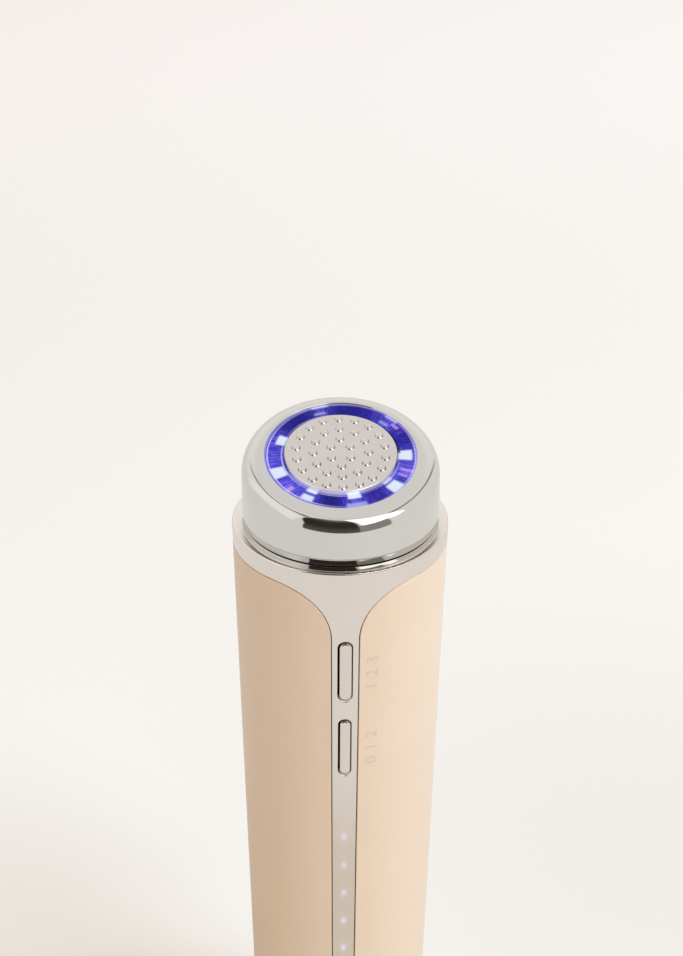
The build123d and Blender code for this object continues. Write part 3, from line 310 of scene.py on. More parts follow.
chrome = Finish("polished_chrome", Metallic=1.0)
chrome_cloud = chrome.noise(90.0, 3.0)
chrome_x, chrome_y, chrome_z = chrome.split(chrome.place())
chrome_tone_and_foot_light = chrome.mix(chrome_cloud, (0.78, 0.775, 0.755), (0.82, 0.815, 0.80))
chrome_tone_and_foot_light = chrome.mix(chrome_z < GROOVE_TOP, chrome_tone_and_foot_light, (0.58, 0.555, 0.51))
# painted light: the ring's foot is paler than the cap, a light line at the ledge
chrome_tone_and_foot_light = chrome.mix(chrome_z < RING_EDGE, chrome_tone_and_foot_light, (0.88, 0.87, 0.85))
head_y = chrome_y - HEAD_Y
# painted shade: the gap between the ring and the cap is painted black
gap_painted_shade = ((chrome_x * chrome_x + head_y * head_y).root() < GAP_R) * (chrome_z < GAP_TOP)
chrome.set(
    Base_Color=chrome.mix(gap_painted_shade, chrome_tone_and_foot_light, (0.01, 0.008, 0.007)),
    Roughness=0.03 + chrome_cloud * 0.03,
)
facing_x, facing_y, facing_z = chrome.split(chrome.facing())
on_slope = chrome.ease(facing_z, 0.42, 0.54) * (chrome_z < GROOVE_TOP)
leaning = chrome.unit(chrome.merge(facing_x, facing_y, facing_z + on_slope * SLOPE_LEAN))
chrome.bump(chrome.noise(160.0, 1.0), 0.06, 0.0002, Normal=leaning)
print("chrome nodes:", len(chrome.tree.nodes))

# %% [markdown]
# ## Electrode face
# The centre electrode is the same metal with a fine satin grain, so it looks pale and even, while
# its bumps catch small sharp glints. A higher roughness and a very fine bump give that. The sides
# of the bumps are painted darker than their tops, a painted shade that is strongest in front. The
# rim takes some light from the ring round it, which a little emission on its front stands for.

# %% Electrode finish
RIM_FROM, RIM_TO = 10.9 * MM, 11.1 * MM
FACE_STRETCH = 1.058  # the tilted face is shorter seen from above: 1 / cos(tilt) squared

electrode_metal = Finish("satin_electrode", Metallic=1.0)
electrode_grain = electrode_metal.noise(5200.0, 2.0, 0.7)
electrode_cloud = electrode_metal.noise(220.0, 2.0)
electrode_tone_and_shade = electrode_metal.mix(electrode_cloud, (0.79, 0.755, 0.73), (0.86, 0.825, 0.80))
bump_x, bump_y = electrode_metal.split(electrode_metal.facing())[:2]
disc_x, disc_y = electrode_metal.split(electrode_metal.place())[:2]
nearness = electrode_metal.ease(disc_y, -7.0 * MM, 8.0 * MM, 1.0, 0.4)
# painted shade on the left and right sides of each bump, strongest in front
left_side_shade = electrode_metal.ease(bump_x, -0.30, -0.42) * nearness
right_side_shade = electrode_metal.ease(bump_x, 0.32, 0.42) * nearness
electrode_tone_and_shade = electrode_metal.mix(left_side_shade * 0.6, electrode_tone_and_shade, (0.16, 0.13, 0.11))
electrode_tone_and_shade = electrode_metal.mix(right_side_shade * 0.8, electrode_tone_and_shade, (0.10, 0.08, 0.07))
disc_y = disc_y - HEAD_Y
disc_radius = (disc_x * disc_x + disc_y * disc_y * FACE_STRETCH).root()
at_rim = electrode_metal.ease(disc_radius, RIM_FROM, RIM_TO) * electrode_metal.ease(bump_y, -0.25, -0.6)
electrode_metal.set(
    Base_Color=electrode_tone_and_shade,
    Roughness=0.16 + electrode_grain * 0.1,
    Emission_Color=electrode_metal.mix(at_rim, BLACK, (0.30, 0.29, 0.42)),
    Emission_Strength=1.0,
)
electrode_metal.bump(electrode_grain, 0.25, 0.00002)
print("electrode nodes:", len(electrode_metal.tree.nodes))

# %% [markdown]
# ## Satin silver trim
# The collar, the funnel and the long spine are one plated part with a satin finish. It is a warm
# silver metal with a soft, wide highlight and a grain too fine to see one by one. Its ledge has a
# rounded outer edge, and there the shading normal is worked out from the place, so it stays clean.
# The tone is kept with the finish, because the openings for the buttons change it later.

# %% Satin silver finish
def satin_silver(name):
    """Warm silver plating with a fine satin grain."""
    finish = Finish(name, Metallic=1.0)
    grain = finish.noise(4200.0, 2.0, 0.7)
    cloud = finish.noise(70.0, 3.0)
    x, y, z = finish.split(finish.place())
    across = (x * x + y * y).root()
    out = (across - (CONE_R - LEDGE_ROUND)).most(0.0)
    rounded = finish.merge(x / across * out, y / across * out, z - (LEDGE - LEDGE_ROUND))
    facing = finish.unit(finish.mix(z > LEDGE - LEDGE_ROUND, finish.facing(), rounded))
    # painted light: the ledge's top is given a paler tone than the rest of the plating
    on_ledge = z > LEDGE - 0.02 * MM
    tone = finish.mix(cloud, (0.90, 0.835, 0.77), (0.94, 0.875, 0.81))
    finish.tone = finish.mix(on_ledge, tone, (0.97, 0.92, 0.88))
    finish.set(Base_Color=finish.tone, Roughness=0.15 + grain * 0.08 + on_ledge * 0.17)
    finish.bump(grain, 0.2, 0.00002, Normal=facing)
    return finish


silver = satin_silver("satin_silver")
print("silver nodes:", len(silver.tree.nodes))

# %% [markdown]
# ## Indicator lights in the spine
# Five small lights shine through thin places in the spine. They have no lens, so each is a soft
# spot with no edge. A spot is a bell curve of the distance from its centre, added as emission.

# %% Lit spine finish
LIGHT_TOP = 84.9 * MM
LIGHT_PITCH = 7.45 * MM
LIGHT_COUNT = 5

lit_silver = satin_silver("lit_silver")
spine_x, _, spine_z = lit_silver.split(lit_silver.place())
glow = 0.0
for index in range(LIGHT_COUNT):
    height = LIGHT_TOP - index * LIGHT_PITCH
    core = spine_x.bell(0.5 * MM) * (spine_z - height).bell(0.72 * MM)
    halo = spine_x.bell(1.1 * MM) * (spine_z - height).bell(2.0 * MM)
    glow = core * (0.55 + 0.08 * index) + halo * 0.16 + glow
glow = glow.clamp()
print("lights in the spine:", LIGHT_COUNT)

# %% [markdown]
# ## Openings and seams
# Each button sits in a slot of the spine, and a seam runs along each side of the spine. Little light
# gets in, so the walls are painted dark with depth below the cone: a painted shade. A lower end faces
# up and gets less of that shade, and the right-hand walls are painted a lighter brown, as if lit from
# the left. A trace of emission stands for light that bounces down the slot and the seams, because so
# narrow a gap would need very many rays to show it.

# %% Dark openings
SLOT_LOW, SLOT_HIGH = 95.0 * MM, 140.0 * MM
SLOT_HALF = 2.2 * MM
SEAM_HIGH = 146.0 * MM
SHADE = (0.012, 0.008, 0.006)


def darken_depths(finish, bright, depth):
    """Paint shade on a finish further below the cone of the handle than a depth."""
    x, y, z = finish.split(finish.place())
    below = CONE_R - (LEDGE - z) * TAPER - (x * x + y * y).root()
    inside = finish.ease(below, depth, depth + 0.06 * MM) * (z < SLOT_HIGH)
    facing_x, _, facing_z = finish.split(finish.facing())
    # painted shade in the depths; walls that face left get a lighter painted brown, as if lit
    dark = finish.mix(finish.ease(facing_x, -0.4, -0.9), SHADE, (0.20, 0.13, 0.10))
    inside = inside * finish.ease(facing_z, 0.35, 0.85, 1.0, 0.25)
    finish.set(Base_Color=finish.mix(inside, bright, dark))


darken_depths(lit_silver, lit_silver.tone, 0.26 * MM)
print("openings are dark below 0.26 mm")

# %% Light in the openings
wall_x, _, wall_z = lit_silver.split(lit_silver.facing())
aside = spine_x.size()
in_slot = (spine_z > SLOT_LOW) * (spine_z < SLOT_HIGH) * (aside < SLOT_HALF)
in_seam = lit_silver.ease(wall_x.size(), 0.4, 0.8) * (aside > SLOT_HALF) * (spine_z < SEAM_HIGH)
slot_light = lit_silver.mix(lit_silver.ease(wall_x, -0.4, -0.9), BLACK, (0.15, 0.10, 0.08))
slot_light = lit_silver.mix(lit_silver.ease(wall_z, 0.35, 0.85), slot_light, (0.46, 0.40, 0.35))
# painted light: emission in the slots and a faint orange-brown glow in the seams
painted_slot_and_seam_light = lit_silver.mix(in_slot, lit_silver.mix(in_seam, BLACK, (0.13, 0.065, 0.03)), slot_light)
lit_silver.set(
    Emission_Color=lit_silver.mix(glow, painted_slot_and_seam_light, (0.42, 0.42, 0.82)),
    Emission_Strength=0.5,
)
print("lit silver nodes:", len(lit_silver.tree.nodes))

# %% [markdown]
# ## Peach coating
# The sleeve is aluminium with a satin peach coating. Fine pearl pigment gives it a soft sheen: the
# side towards the light turns paler, not just brighter. A part of metal in the shader does that.

# %% Peach finish
peach = Finish("peach_pearl", Metallic=0.1, Sheen_Weight=0.25, Sheen_Roughness=0.4)
peach_grain = peach.noise(3600.0, 2.0, 0.7)
peach_cloud = peach.noise(45.0, 3.0)
peach.set(
    Base_Color=peach.mix(peach_cloud, (0.80, 0.605, 0.445), (0.84, 0.645, 0.485)),
    Roughness=0.36 + peach_grain * 0.12,
)
peach.bump(peach_grain, 0.25, 0.00002)
print("peach nodes:", len(peach.tree.nodes))

# %% [markdown]
# ## Button finish
# The buttons are plated like the spine but polished a little more, so their rounded edges draw a
# clear line. Their stems lie deep in the handle, where they are painted as dark as the slots, a
# painted shade.

# %% Button finish
button_silver = Finish("button_silver", Metallic=1.0)
button_grain = button_silver.noise(4000.0, 2.0, 0.7)
button_tone = button_silver.mix(button_grain, (0.87, 0.805, 0.74), (0.91, 0.845, 0.78))
button_silver.set(Roughness=0.12 + button_grain * 0.1)
button_silver.bump(button_grain, 0.2, 0.00002)
darken_depths(button_silver, button_tone, 1.2 * MM)
print("button nodes:", len(button_silver.tree.nodes))

# %% [markdown]
# ## The head's own axes
# The head's face leans 13.55 degrees towards the buttons. Pieces on it are easiest to make flat,
# round its centre, and then to place with two directions across the face and its normal.

# %% Face axes
TILT = math.radians(13.55)
FACE_RISE = 15.5 * MM  # height of the face's centre above the ledge
FACE_CENTRE = Vector((0.0, HEAD_Y, LEDGE + FACE_RISE))
ACROSS = Vector((1.0, 0.0, 0.0))
ALONG = Vector((0.0, math.cos(TILT), math.sin(TILT)))
NORMAL = Vector((0.0, -math.sin(TILT), math.cos(TILT)))
FACE = Matrix.Translation(FACE_CENTRE) @ Matrix((ACROSS, ALONG, NORMAL)).transposed().to_4x4()
print("face centre (mm):", [round(v / MM, 2) for v in FACE_CENTRE])


# %% [markdown]
# ## Growing a skin
# The solids are exact but plain, so what shows gets a finer skin. A skin starts as one ring of
# points and is extruded edge by edge. Each new ring is then laid on its own curve, which can be
# round, long or slanted. That is freer than spinning a profile, which only makes round shapes.

# %% Sweep
def sweep(mesh, places, segments=144, closed=False):
    """Grow a skin: a circle's points go to the first place, and each extrusion to the next."""
    points = bmesh.ops.create_circle(mesh, cap_ends=False, segments=segments, radius=1.0)["verts"]
    turns = {point: math.atan2(point.co.y, point.co.x) for point in points}
    edges = list({edge for point in points for edge in point.link_edges})
    for point in points:
        point.co = places[0](turns[point])
    for place in places[1:] + (places[:1] if closed else []):
        grown = bmesh.ops.extrude_edge_only(mesh, edges=edges)["geom"]
        before, turns = turns, {}
        for point in grown:
            if isinstance(point, bmesh.types.BMVert):
                others = [edge.other_vert(point) for edge in point.link_edges]
                turns[point] = next(before[other] for other in others if other in before)
        for point, turn in turns.items():
            point.co = place(turn)
        edges = [e for e in grown if isinstance(e, bmesh.types.BMEdge) and set(e.verts) <= set(turns)]
    return edges


print("skins can be grown ring by ring")


# %% Finished piece
def in_order(elements, key):
    """Sort a mesh's points or faces. Extruding may list them in another order at each run."""
    ranks = {element: rank for rank, element in enumerate(sorted(elements, key=key))}
    elements.sort(key=ranks.get)
    elements.index_update()


def piece(name, mesh, finish, nodes, body="body", sharp=35.0):
    """Turn a bmesh into a finished piece that stands for CAD nodes and rides on their body."""
    bmesh.ops.remove_doubles(mesh, verts=mesh.verts, dist=1e-7)
    for point in mesh.verts:
        point.co.z = min(point.co.z, cad_box[1].z)
    in_order(mesh.verts, lambda point: point.co[:])
    for elements in (mesh.edges, mesh.faces):
        in_order(elements, lambda element: sorted(point.index for point in element.verts))
    bmesh.ops.recalc_face_normals(mesh, faces=mesh.faces)
    data = bpy.data.meshes.new(name)
    mesh.to_mesh(data)
    mesh.free()
    for face in data.polygons:
        face.use_smooth = True
    data.set_sharp_from_angle(angle=math.radians(sharp))
    data.materials.append(finish.material)
    made = bpy.data.objects.new(name, data)
    bpy.context.scene.collection.objects.link(made)
    if nodes:
        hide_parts(*nodes)
    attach(made, body)
    print(name, "faces:", len(data.polygons))
    return made


print("no skin rises above (mm):", round(cad_box[1].z / MM, 2))

# %% [markdown]
# ## Buttons
# Each button is a long rounded cap that lies 0.3 mm below the spine, with a flange behind it and a
# stem to its switch. Its upper end is rounded much more than its sides, so it catches the dark side
# of the room. The cap is grown from its flange outwards, ring after ring, each a long rounded loop.

# %% Button outline
SINK = 0.3 * MM
SHIFT = 0.1 * MM  # the caps stand this far right of the spine's middle, and as far down


def loop(reach, half, centre, wall=None):
    """Places on a long rounded loop. Reach and depth below the cone may depend on the angle."""
    def place(angle):
        out, depth = reach(angle)
        end = half if math.sin(angle) > 1e-6 else -half
        x = out * math.cos(angle) + SHIFT
        z = centre - SHIFT + out * math.sin(angle) + end
        if wall is not None:
            return Vector((x, wall, z))
        radius = CONE_R - (LEDGE - z) * TAPER - depth
        return Vector((x, -math.sqrt(radius * radius - x * x), z))
    return place


def rounding(angle):
    """Edge radius: large at the upper end, small elsewhere."""
    return (0.24 + 0.56 * max(0.0, math.sin(angle)) ** 1.5) * MM


print("edge radius at the ends (mm):", [round(rounding(a) / MM, 2) for a in (math.pi / 2, -math.pi / 2)])

# %% Buttons
FLANGE_T = 0.8 * MM
STEM_R = 1.0 * MM
STEM_END = -16.62 * MM
POLE_R = 0.02 * MM
EDGE_STEPS = 8


def long_button(name, node, body, centre, length, width, front):
    """Cap, flange and stem of one button, its sizes in millimetres."""
    half = (length - width) / 2 * MM - 0.08 * MM
    side = (width / 2 - 0.27) * MM
    lip = (width / 2 + 0.5) * MM
    centre, front = centre * MM, front * MM
    back = front + FLANGE_T
    mesh = bmesh.new()
    flange = ((POLE_R, back), (lip, back), (lip, front), (side, front))
    places = [loop(lambda a, r=r: (r, 0.0), half, centre, wall) for r, wall in flange]

    def rolled_edge(turn):
        """Reach and depth of the rounded edge, from its side at 0 to its top at a quarter turn."""
        drop, inward = 1 - math.sin(turn), 1 - math.cos(turn)
        return lambda a: (side - rounding(a) * inward, SINK + rounding(a) * drop)

    turns = [step / EDGE_STEPS * math.pi / 2 for step in range(EDGE_STEPS + 1)]
    places += [loop(rolled_edge(turn), half, centre) for turn in turns]
    for share in (0.7, 0.35, 0.02):
        places.append(loop(lambda a, f=share: ((side - rounding(a)) * f, SINK), half, centre))
    sweep(mesh, places, segments=96)
    neck = front + 0.7 * MM
    stem = ((POLE_R, neck), (STEM_R, neck), (STEM_R, STEM_END), (POLE_R, STEM_END))
    sweep(mesh, [loop(lambda a, r=r: (r, 0.0), 0.0, centre, y) for r, y in stem], segments=32)
    open_edges = [edge for edge in mesh.edges if edge.is_boundary]
    bmesh.ops.holes_fill(mesh, edges=open_edges, sides=0)
    return piece(name, mesh, button_silver, [node], body)


long_button("upper_button", "mode_button", "mode_key", 126.5, 14.6, 3.1, -18.92)
long_button("lower_button", "level_button", "level_key", 107.75, 14.1, 2.75, -18.38)

# %% [markdown]
# ## Chromed cap
# The cap is a straight round wall with a slanted top and one rolled edge between them. A bevel
# keeps its width, so it would be too tight where the corner is sharp. Here a ball is rolled along
# the corner instead: each ring holds the points that the ball touches at one angle.

# %% Circles and the rolled edge
def upright(radius, height):
    """Places on a level circle round the head's axis."""
    def place(angle):
        return Vector((radius * math.cos(angle), HEAD_Y + radius * math.sin(angle), height))
    return place


def on_face(radius, rise):
    """Places on a circle round the face's centre, a rise above the face."""
    def place(angle):
        return FACE @ Vector((radius * math.cos(angle), radius * math.sin(angle), rise))
    return place


def rolled(wall_radius, depth, roll, share):
    """Where a rolling ball touches: share 0 on the upright wall, 1 on the slanted face."""
    def place(angle):
        out = Vector((math.cos(angle), math.sin(angle), 0.0))
        reach = wall_radius - roll
        x, y = reach * out.x, reach * out.y
        z = FACE_CENTRE.z + y * math.tan(TILT) - (depth + roll) / math.cos(TILT)
        centre = Vector((x, HEAD_Y + y, z))
        turn = out.angle(NORMAL)
        a = math.sin((1 - share) * turn) / math.sin(turn)
        b = math.sin(share * turn) / math.sin(turn)
        return centre + roll * (a * out + b * NORMAL)
    return place


corner = [round(90.0 + side * math.degrees(TILT), 2) for side in (-1, 1)]
print("the cap's corner turns by (degrees), in front and at the back:", corner)

# %% Chromed cap
HEAD_R = 19.9 * MM
ROLL_R = 3.7 * MM
CAP_FOOT = LEDGE + 1.42 * MM
CAP_IN_R = 18.6 * MM
FACE_WALL = 1.7 * MM
ROLL_IN_R = 1.9 * MM
ROLL_STEPS, ROLL_IN_STEPS = 24, 8


def chromed_cap():
    """Wall, rolled edge, face and lip outside; wall and face again inside."""
    mesh = bmesh.new()
    slope = [(19.25, 0.0), (19.6, 0.0), (19.64, 0.005), (19.655, 0.03), (19.64, 0.065), (19.15, 0.745)]
    neck = [(19.125, 0.79), (19.12, 0.84), (19.12, 1.46), (19.14, 1.48)]
    skirt = [(19.78, 1.48), (19.83, 1.49), (19.87, 1.53), (19.893, 1.59), (19.9, 1.68), (19.9, 1.84)]
    places = [upright(r * MM, CAP_FOOT + z * MM) for r, z in slope + neck + skirt]
    places += [rolled(HEAD_R, 0.0, ROLL_R, step / ROLL_STEPS) for step in range(ROLL_STEPS + 1)]
    lip = [(15.62, 0.0), (15.55, 0.0), (15.46, -0.02), (15.37, -0.08), (15.315, -0.17), (15.3, -0.27)]
    places += [on_face(r * MM, w * MM) for r, w in lip]
    places += [on_face(15.3 * MM, -FACE_WALL)]
    inner = [1 - step / ROLL_IN_STEPS for step in range(ROLL_IN_STEPS + 1)]
    places += [rolled(CAP_IN_R, FACE_WALL, ROLL_IN_R, share) for share in inner]
    places += [upright(CAP_IN_R, CAP_FOOT)]
    sweep(mesh, places, segments=180, closed=True)
    return piece("chromed_cap", mesh, chrome, ["head_cap"])


chromed_cap()

# %% [markdown]
# ## Chromed ring
# Under the cap sits a narrow ring, upright at the ledge and then sloping in. With the slope at the
# cap's foot it makes a groove. Its profile is drawn once and carried round the head's axis.

# %% Chromed ring
def chromed_ring():
    """Narrow ring on the ledge with small rounded edges."""
    mesh = bmesh.new()
    profile = [(17.75, 0.0), (19.84, 0.0), (19.865, 0.01), (19.87, 0.04), (19.87, 0.17), (19.865, 0.2)]
    profile += [(19.85, 0.235), (19.41, 0.84), (19.39, 0.865), (19.36, 0.875), (19.26, 0.875)]
    profile += [(19.25, 0.88), (19.25, 1.34), (17.75, 1.34)]
    sweep(mesh, [upright(r * MM, LEDGE + z * MM) for r, z in profile], segments=180, closed=True)
    return piece("chromed_ring", mesh, chrome, ["head_ring"])


chromed_ring()

# %% [markdown]
# ## Centre electrode
# A round plate with a softly rounded rim and 36 massage bumps. The bumps stand on three ovals,
# evenly spaced along each. One bump is a low dome, made at each place and closed at its foot.

# %% Bump places
BUMP_RINGS = ((2.1, 4.04, 6), (5.55, 7.02, 12), (9.0, 10.0, 18))


def oval_places(side, long, count, fine=720):
    """Points spaced evenly along an oval, the first at the back."""
    turns = [k * math.tau / fine for k in range(fine + 1)]
    walk = [(side * math.sin(turn), long * math.cos(turn)) for turn in turns]
    lengths = [0.0]
    for before, after in zip(walk, walk[1:]):
        lengths.append(lengths[-1] + math.dist(before, after))
    places, step = [], 0
    for index in range(count):
        goal = lengths[-1] * index / count
        while lengths[step] < goal:
            step += 1
        places.append(walk[step])
    return places


bump_places = [spot for numbers in BUMP_RINGS for spot in oval_places(*numbers)]
print("bumps:", len(bump_places))


# %% Bumps
BUMP_FOOT = 0.92 * MM
BUMP_H = 0.28 * MM
BUMP_BALL = (BUMP_FOOT * BUMP_FOOT + BUMP_H * BUMP_H) / (2 * BUMP_H)


def dome(spot):
    """Places of one bump: part of a ball, its foot just under the plate."""

    def level(across, rise):
        def place(angle):
            return spot @ Vector((across * math.cos(angle), across * math.sin(angle), rise))
        return place

    places = [level(BUMP_FOOT, -0.06 * MM)]
    for share in (1.0, 0.93, 0.85, 0.75, 0.64, 0.52, 0.38, 0.22, 0.04):
        across = BUMP_FOOT * share
        rise = math.sqrt(BUMP_BALL * BUMP_BALL - across * across) - BUMP_BALL + BUMP_H
        places.append(level(across, rise))
    return places


print("radius of a bump's ball (mm):", round(BUMP_BALL / MM, 2))


# %% Centre electrode
PLATE_R = 11.4
PLATE_TOP = 0.5
PLATE_ROUND = 0.28
PLATE_STEPS = 6
SKIRT_IN_R = 10.3


def centre_electrode():
    """Plate, skirt and bumps in one piece."""
    mesh = bmesh.new()
    middle, level = PLATE_R - PLATE_ROUND, PLATE_TOP - PLATE_ROUND
    profile = [(0.6, -0.7), (SKIRT_IN_R, -0.7), (SKIRT_IN_R, -2.9), (PLATE_R, -2.9), (PLATE_R, -1.2)]
    profile += [(PLATE_R, level)]
    for step in range(1, PLATE_STEPS + 1):
        turn = step / PLATE_STEPS * math.pi / 2
        profile.append((middle + PLATE_ROUND * math.cos(turn), level + PLATE_ROUND * math.sin(turn)))
    profile += [(r, PLATE_TOP) for r in (10.9, 7.0, 3.0, 0.6)]
    sweep(mesh, [on_face(r * MM, w * MM) for r, w in profile])
    for x, y in bump_places:
        sweep(mesh, dome(FACE @ Matrix.Translation((x * MM, y * MM, PLATE_TOP * MM))), segments=28)
    open_edges = [edge for edge in mesh.edges if edge.is_boundary]
    bmesh.ops.holes_fill(mesh, edges=open_edges, sides=0)
    left = sum(edge.is_boundary for edge in mesh.edges)
    print("open edges closed:", len(open_edges), "left:", left)
    return piece("centre_plate", mesh, electrode_metal, ["centre_electrode"])


centre_electrode()

# %% [markdown]
# ## Light ring
# Round the electrode runs a clear blue ring with nine lights below it. Seen from outside it looks
# deep blue, with a pale patch over each light, streaks between them and a violet line at the edge.
# Bent light in clear plastic takes far too many rays to trace, so the pattern is drawn instead,
# with the angle round the ring and the distance from its centre, and it shines by emission.

# %% Light ring places
RING_MIDDLE = 13.4  # mean radius of the ring in millimetres

blue_ring = Finish("blue_light_ring", Roughness=0.1, Specular_IOR_Level=0.12)
flat = blue_ring.node(
    "ShaderNodeMapping",
    {"vector_type": "TEXTURE"},
    Vector=blue_ring.place(),
    Location=tuple(FACE_CENTRE),
    Rotation=(TILT, 0.0, 0.0),
)
flat_x, flat_v = blue_ring.split(flat)[:2]
ring_angle = blue_ring.node("ShaderNodeMath", {"operation": "ARCTAN2"}, i0=flat_v, i1=flat_x)
ring_radius = (flat_x * flat_x + flat_v * flat_v).root() * 1000.0


def away(degrees):
    """Distance along the ring from an angle, in millimetres."""
    angle = ring_angle - math.radians(degrees)
    wrap = {"operation": "WRAP"}
    return blue_ring.node("ShaderNodeMath", wrap, i0=angle, i1=math.pi, i2=-math.pi) * RING_MIDDLE


def window(degrees, half, low, high, soft=0.3):
    """1 in a soft-edged window of the ring: an angle, a half width and two radii."""
    across = blue_ring.ease(away(degrees).size(), half - soft, half + soft, 1.0, 0.0)
    inside = blue_ring.ease(ring_radius, low - soft, low + soft)
    return across * inside * blue_ring.ease(ring_radius, high - soft, high + soft, 1.0, 0.0)


print("ring pattern uses", len(blue_ring.tree.nodes), "nodes so far")

# %% Light ring colours
streak_where = blue_ring.merge(flat_x * 1000.0, flat_v * 1000.0, 0.0)
streak_place = blue_ring.merge(ring_angle * RING_MIDDLE, ring_radius * 0.18, 0.0)
streaks = blue_ring.noise(0.9, 3.0, 0.6, streak_place)
fine = blue_ring.noise(2.6, 2.0, 0.6, streak_place)
clouds = blue_ring.noise(0.35, 2.0, 0.5, streak_where)
lit = blue_ring.mix(blue_ring.ease(clouds, 0.35, 0.65), (0.010, 0.010, 0.24), (0.030, 0.012, 0.40))
lit = blue_ring.mix(blue_ring.ease(streaks, 0.50, 0.68) * 0.7, lit, (0.10, 0.02, 0.47))
lit = blue_ring.mix(blue_ring.ease(fine, 0.56, 0.72) * 0.5, lit, (0.15, 0.11, 0.72))
# an angle, how far it reaches along the ring, and how much deeper the blue is there
DEEPS = ((98.0, 8.0, 0.7), (132.0, 4.5, 0.75), (74.0, 3.5, 0.6), (20.0, 4.0, 0.45), (256.0, 2.0, 0.8))
DEEPS += ((-58.0, 2.2, 0.6), (-98.0, 1.8, 0.7))
for degrees, reach, depth in DEEPS:
    lit = blue_ring.mix(away(degrees).bell(reach) * depth, lit, (0.004, 0.005, 0.13))
print("base colours mixed")

# %% Light ring lights
# hazes: an angle, how far it reaches along the ring, and its strength
HAZES = ((-80, 2.2, 0.5), (-41, 2.6, 0.4), (-22, 2.4, 0.75), (-2, 2.6, 0.4), (44, 2.8, 0.5))
HAZES += ((104, 1.8, 0.45), (158, 2.6, 0.45), (181, 2.6, 0.55), (200, 2.4, 0.4), (220, 2.4, 0.7))
HAZES += ((238, 2.1, 0.5),)
# lamps: an angle, a half width, two radii and the strength of each pale patch
LAMPS = ((-80, 1.45, 11.2, 12.7, 0.95), (-80, 1.9, 14.0, 15.4, 0.35), (-42, 1.4, 12.6, 15.1, 0.9))
LAMPS += ((-41, 1.3, 11.3, 12.1, 0.75), (-1.5, 1.4, 11.5, 14.3, 0.9), (45, 1.1, 12.6, 13.3, 0.3))
LAMPS += ((44, 1.4, 14.7, 15.6, 0.55), (104, 1.5, 14.7, 15.6, 0.75), (106, 1.2, 12.7, 13.3, 0.35))
LAMPS += ((158, 1.4, 11.6, 13.5, 0.9), (200, 1.45, 12.0, 14.8, 0.9), (239, 1.2, 13.2, 14.7, 0.85))
LAMPS += ((239, 1.25, 11.1, 12.4, 0.95),)
streaky = 0.35 + blue_ring.ease(fine, 0.42, 0.60) * 0.75
for degrees, reach, strength in HAZES:
    lit = blue_ring.mix(away(degrees).bell(reach) * strength * streaky, lit, (0.17, 0.15, 0.82))
for degrees, half, low, high, strength in LAMPS:
    patch = window(degrees, half, low, high, 0.35) * strength
    lit = blue_ring.mix(patch, lit, (0.70, 0.78, 0.84))
print("hazes:", len(HAZES), "pale patches:", len(LAMPS))

# %% Light ring lines
# shadows of the electrode's rim: an angle and a half width
SHADOWS = ((38, 8.6), (132, 3.6))
# violet glints: an angle, a half width and two radii
GLINTS = ((-20, 0.35, 12.4, 15.3), (-27, 0.3, 12.6, 14.6), (36, 0.9, 13.6, 14.3), (222, 0.5, 13.2, 15.2))
# pale lines along the edges: an angle, how far it reaches, a radius and its strength
EDGES = ((180.0, 11.0, 14.72, 0.85), (232.0, 7.0, 14.80, 0.7), (-8.0, 7.5, 14.95, 0.7))
EDGES += ((108.0, 6.0, 15.0, 0.5), (190.0, 9.0, 11.85, 0.75), (-35.0, 4.5, 11.8, 0.6))
EDGES += ((120.0, 5.0, 12.1, 0.45), (262.0, 7.0, 11.8, 0.5))
for degrees, half in SHADOWS:
    shadow = window(degrees, half, 10.0, 12.0, 0.25) * 0.85
    lit = blue_ring.mix(shadow, lit, (0.006, 0.003, 0.04))
for degrees, half, low, high in GLINTS:
    glint = window(degrees, half, low, high, 0.3) * 0.5
    lit = blue_ring.mix(glint, lit, (0.70, 0.40, 0.86))
rim = blue_ring.ease(ring_radius, 14.95, 15.2)
lit = blue_ring.mix(rim * (0.3 + streaks * 0.6), lit, (0.46, 0.40, 0.86))
for degrees, reach, radius, strength in EDGES:
    line = away(degrees).bell(reach) * (ring_radius - radius).bell(0.14) * strength
    lit = blue_ring.mix(line * (0.45 + fine), lit, (0.66, 0.64, 0.93))
blue_ring.set(
    Base_Color=blue_ring.mix(0.88, lit, (0.0, 0.0, 0.02)),
    Emission_Color=lit,
    Emission_Strength=1.0,
)
print("light ring nodes:", len(blue_ring.tree.nodes))


# %% Light ring
def light_ring():
    """Clear ring with rounded upper edges and a flange below the cap's face."""
    mesh = bmesh.new()
    profile = [(11.48, -2.55), (16.4, -2.55), (16.4, -1.75), (15.2, -1.75), (15.2, -0.4)]
    profile += [(15.16, -0.3), (15.08, -0.26), (14.9, -0.25), (13.4, -0.25), (11.9, -0.25)]
    profile += [(11.6, -0.26), (11.52, -0.3), (11.48, -0.4)]
    sweep(mesh, [on_face(r * MM, w * MM) for r, w in profile], closed=True)
    return piece("blue_ring", mesh, blue_ring, ["light_ring"])


light_ring()

# %% [markdown]
# ## Plain finishes
# Rubber, plastics, boards and small metal parts are hidden or seen only at the foot. Each still
# gets its own grain and a small change of tone, so a cut-open view looks right too.

# %% Plain finishes
def plain(name, dark, light, roughness, metallic=0.0, grain=900.0, depth=0.00002, strength=0.2):
    """A finish with a grain: two close tones, uneven gloss and a fine bump."""
    finish = Finish(name, Metallic=metallic)
    speck = finish.noise(grain, 3.0, 0.6)
    finish.set(Base_Color=finish.mix(speck, dark, light), Roughness=roughness + speck * 0.12)
    finish.bump(speck, strength, depth)
    return finish


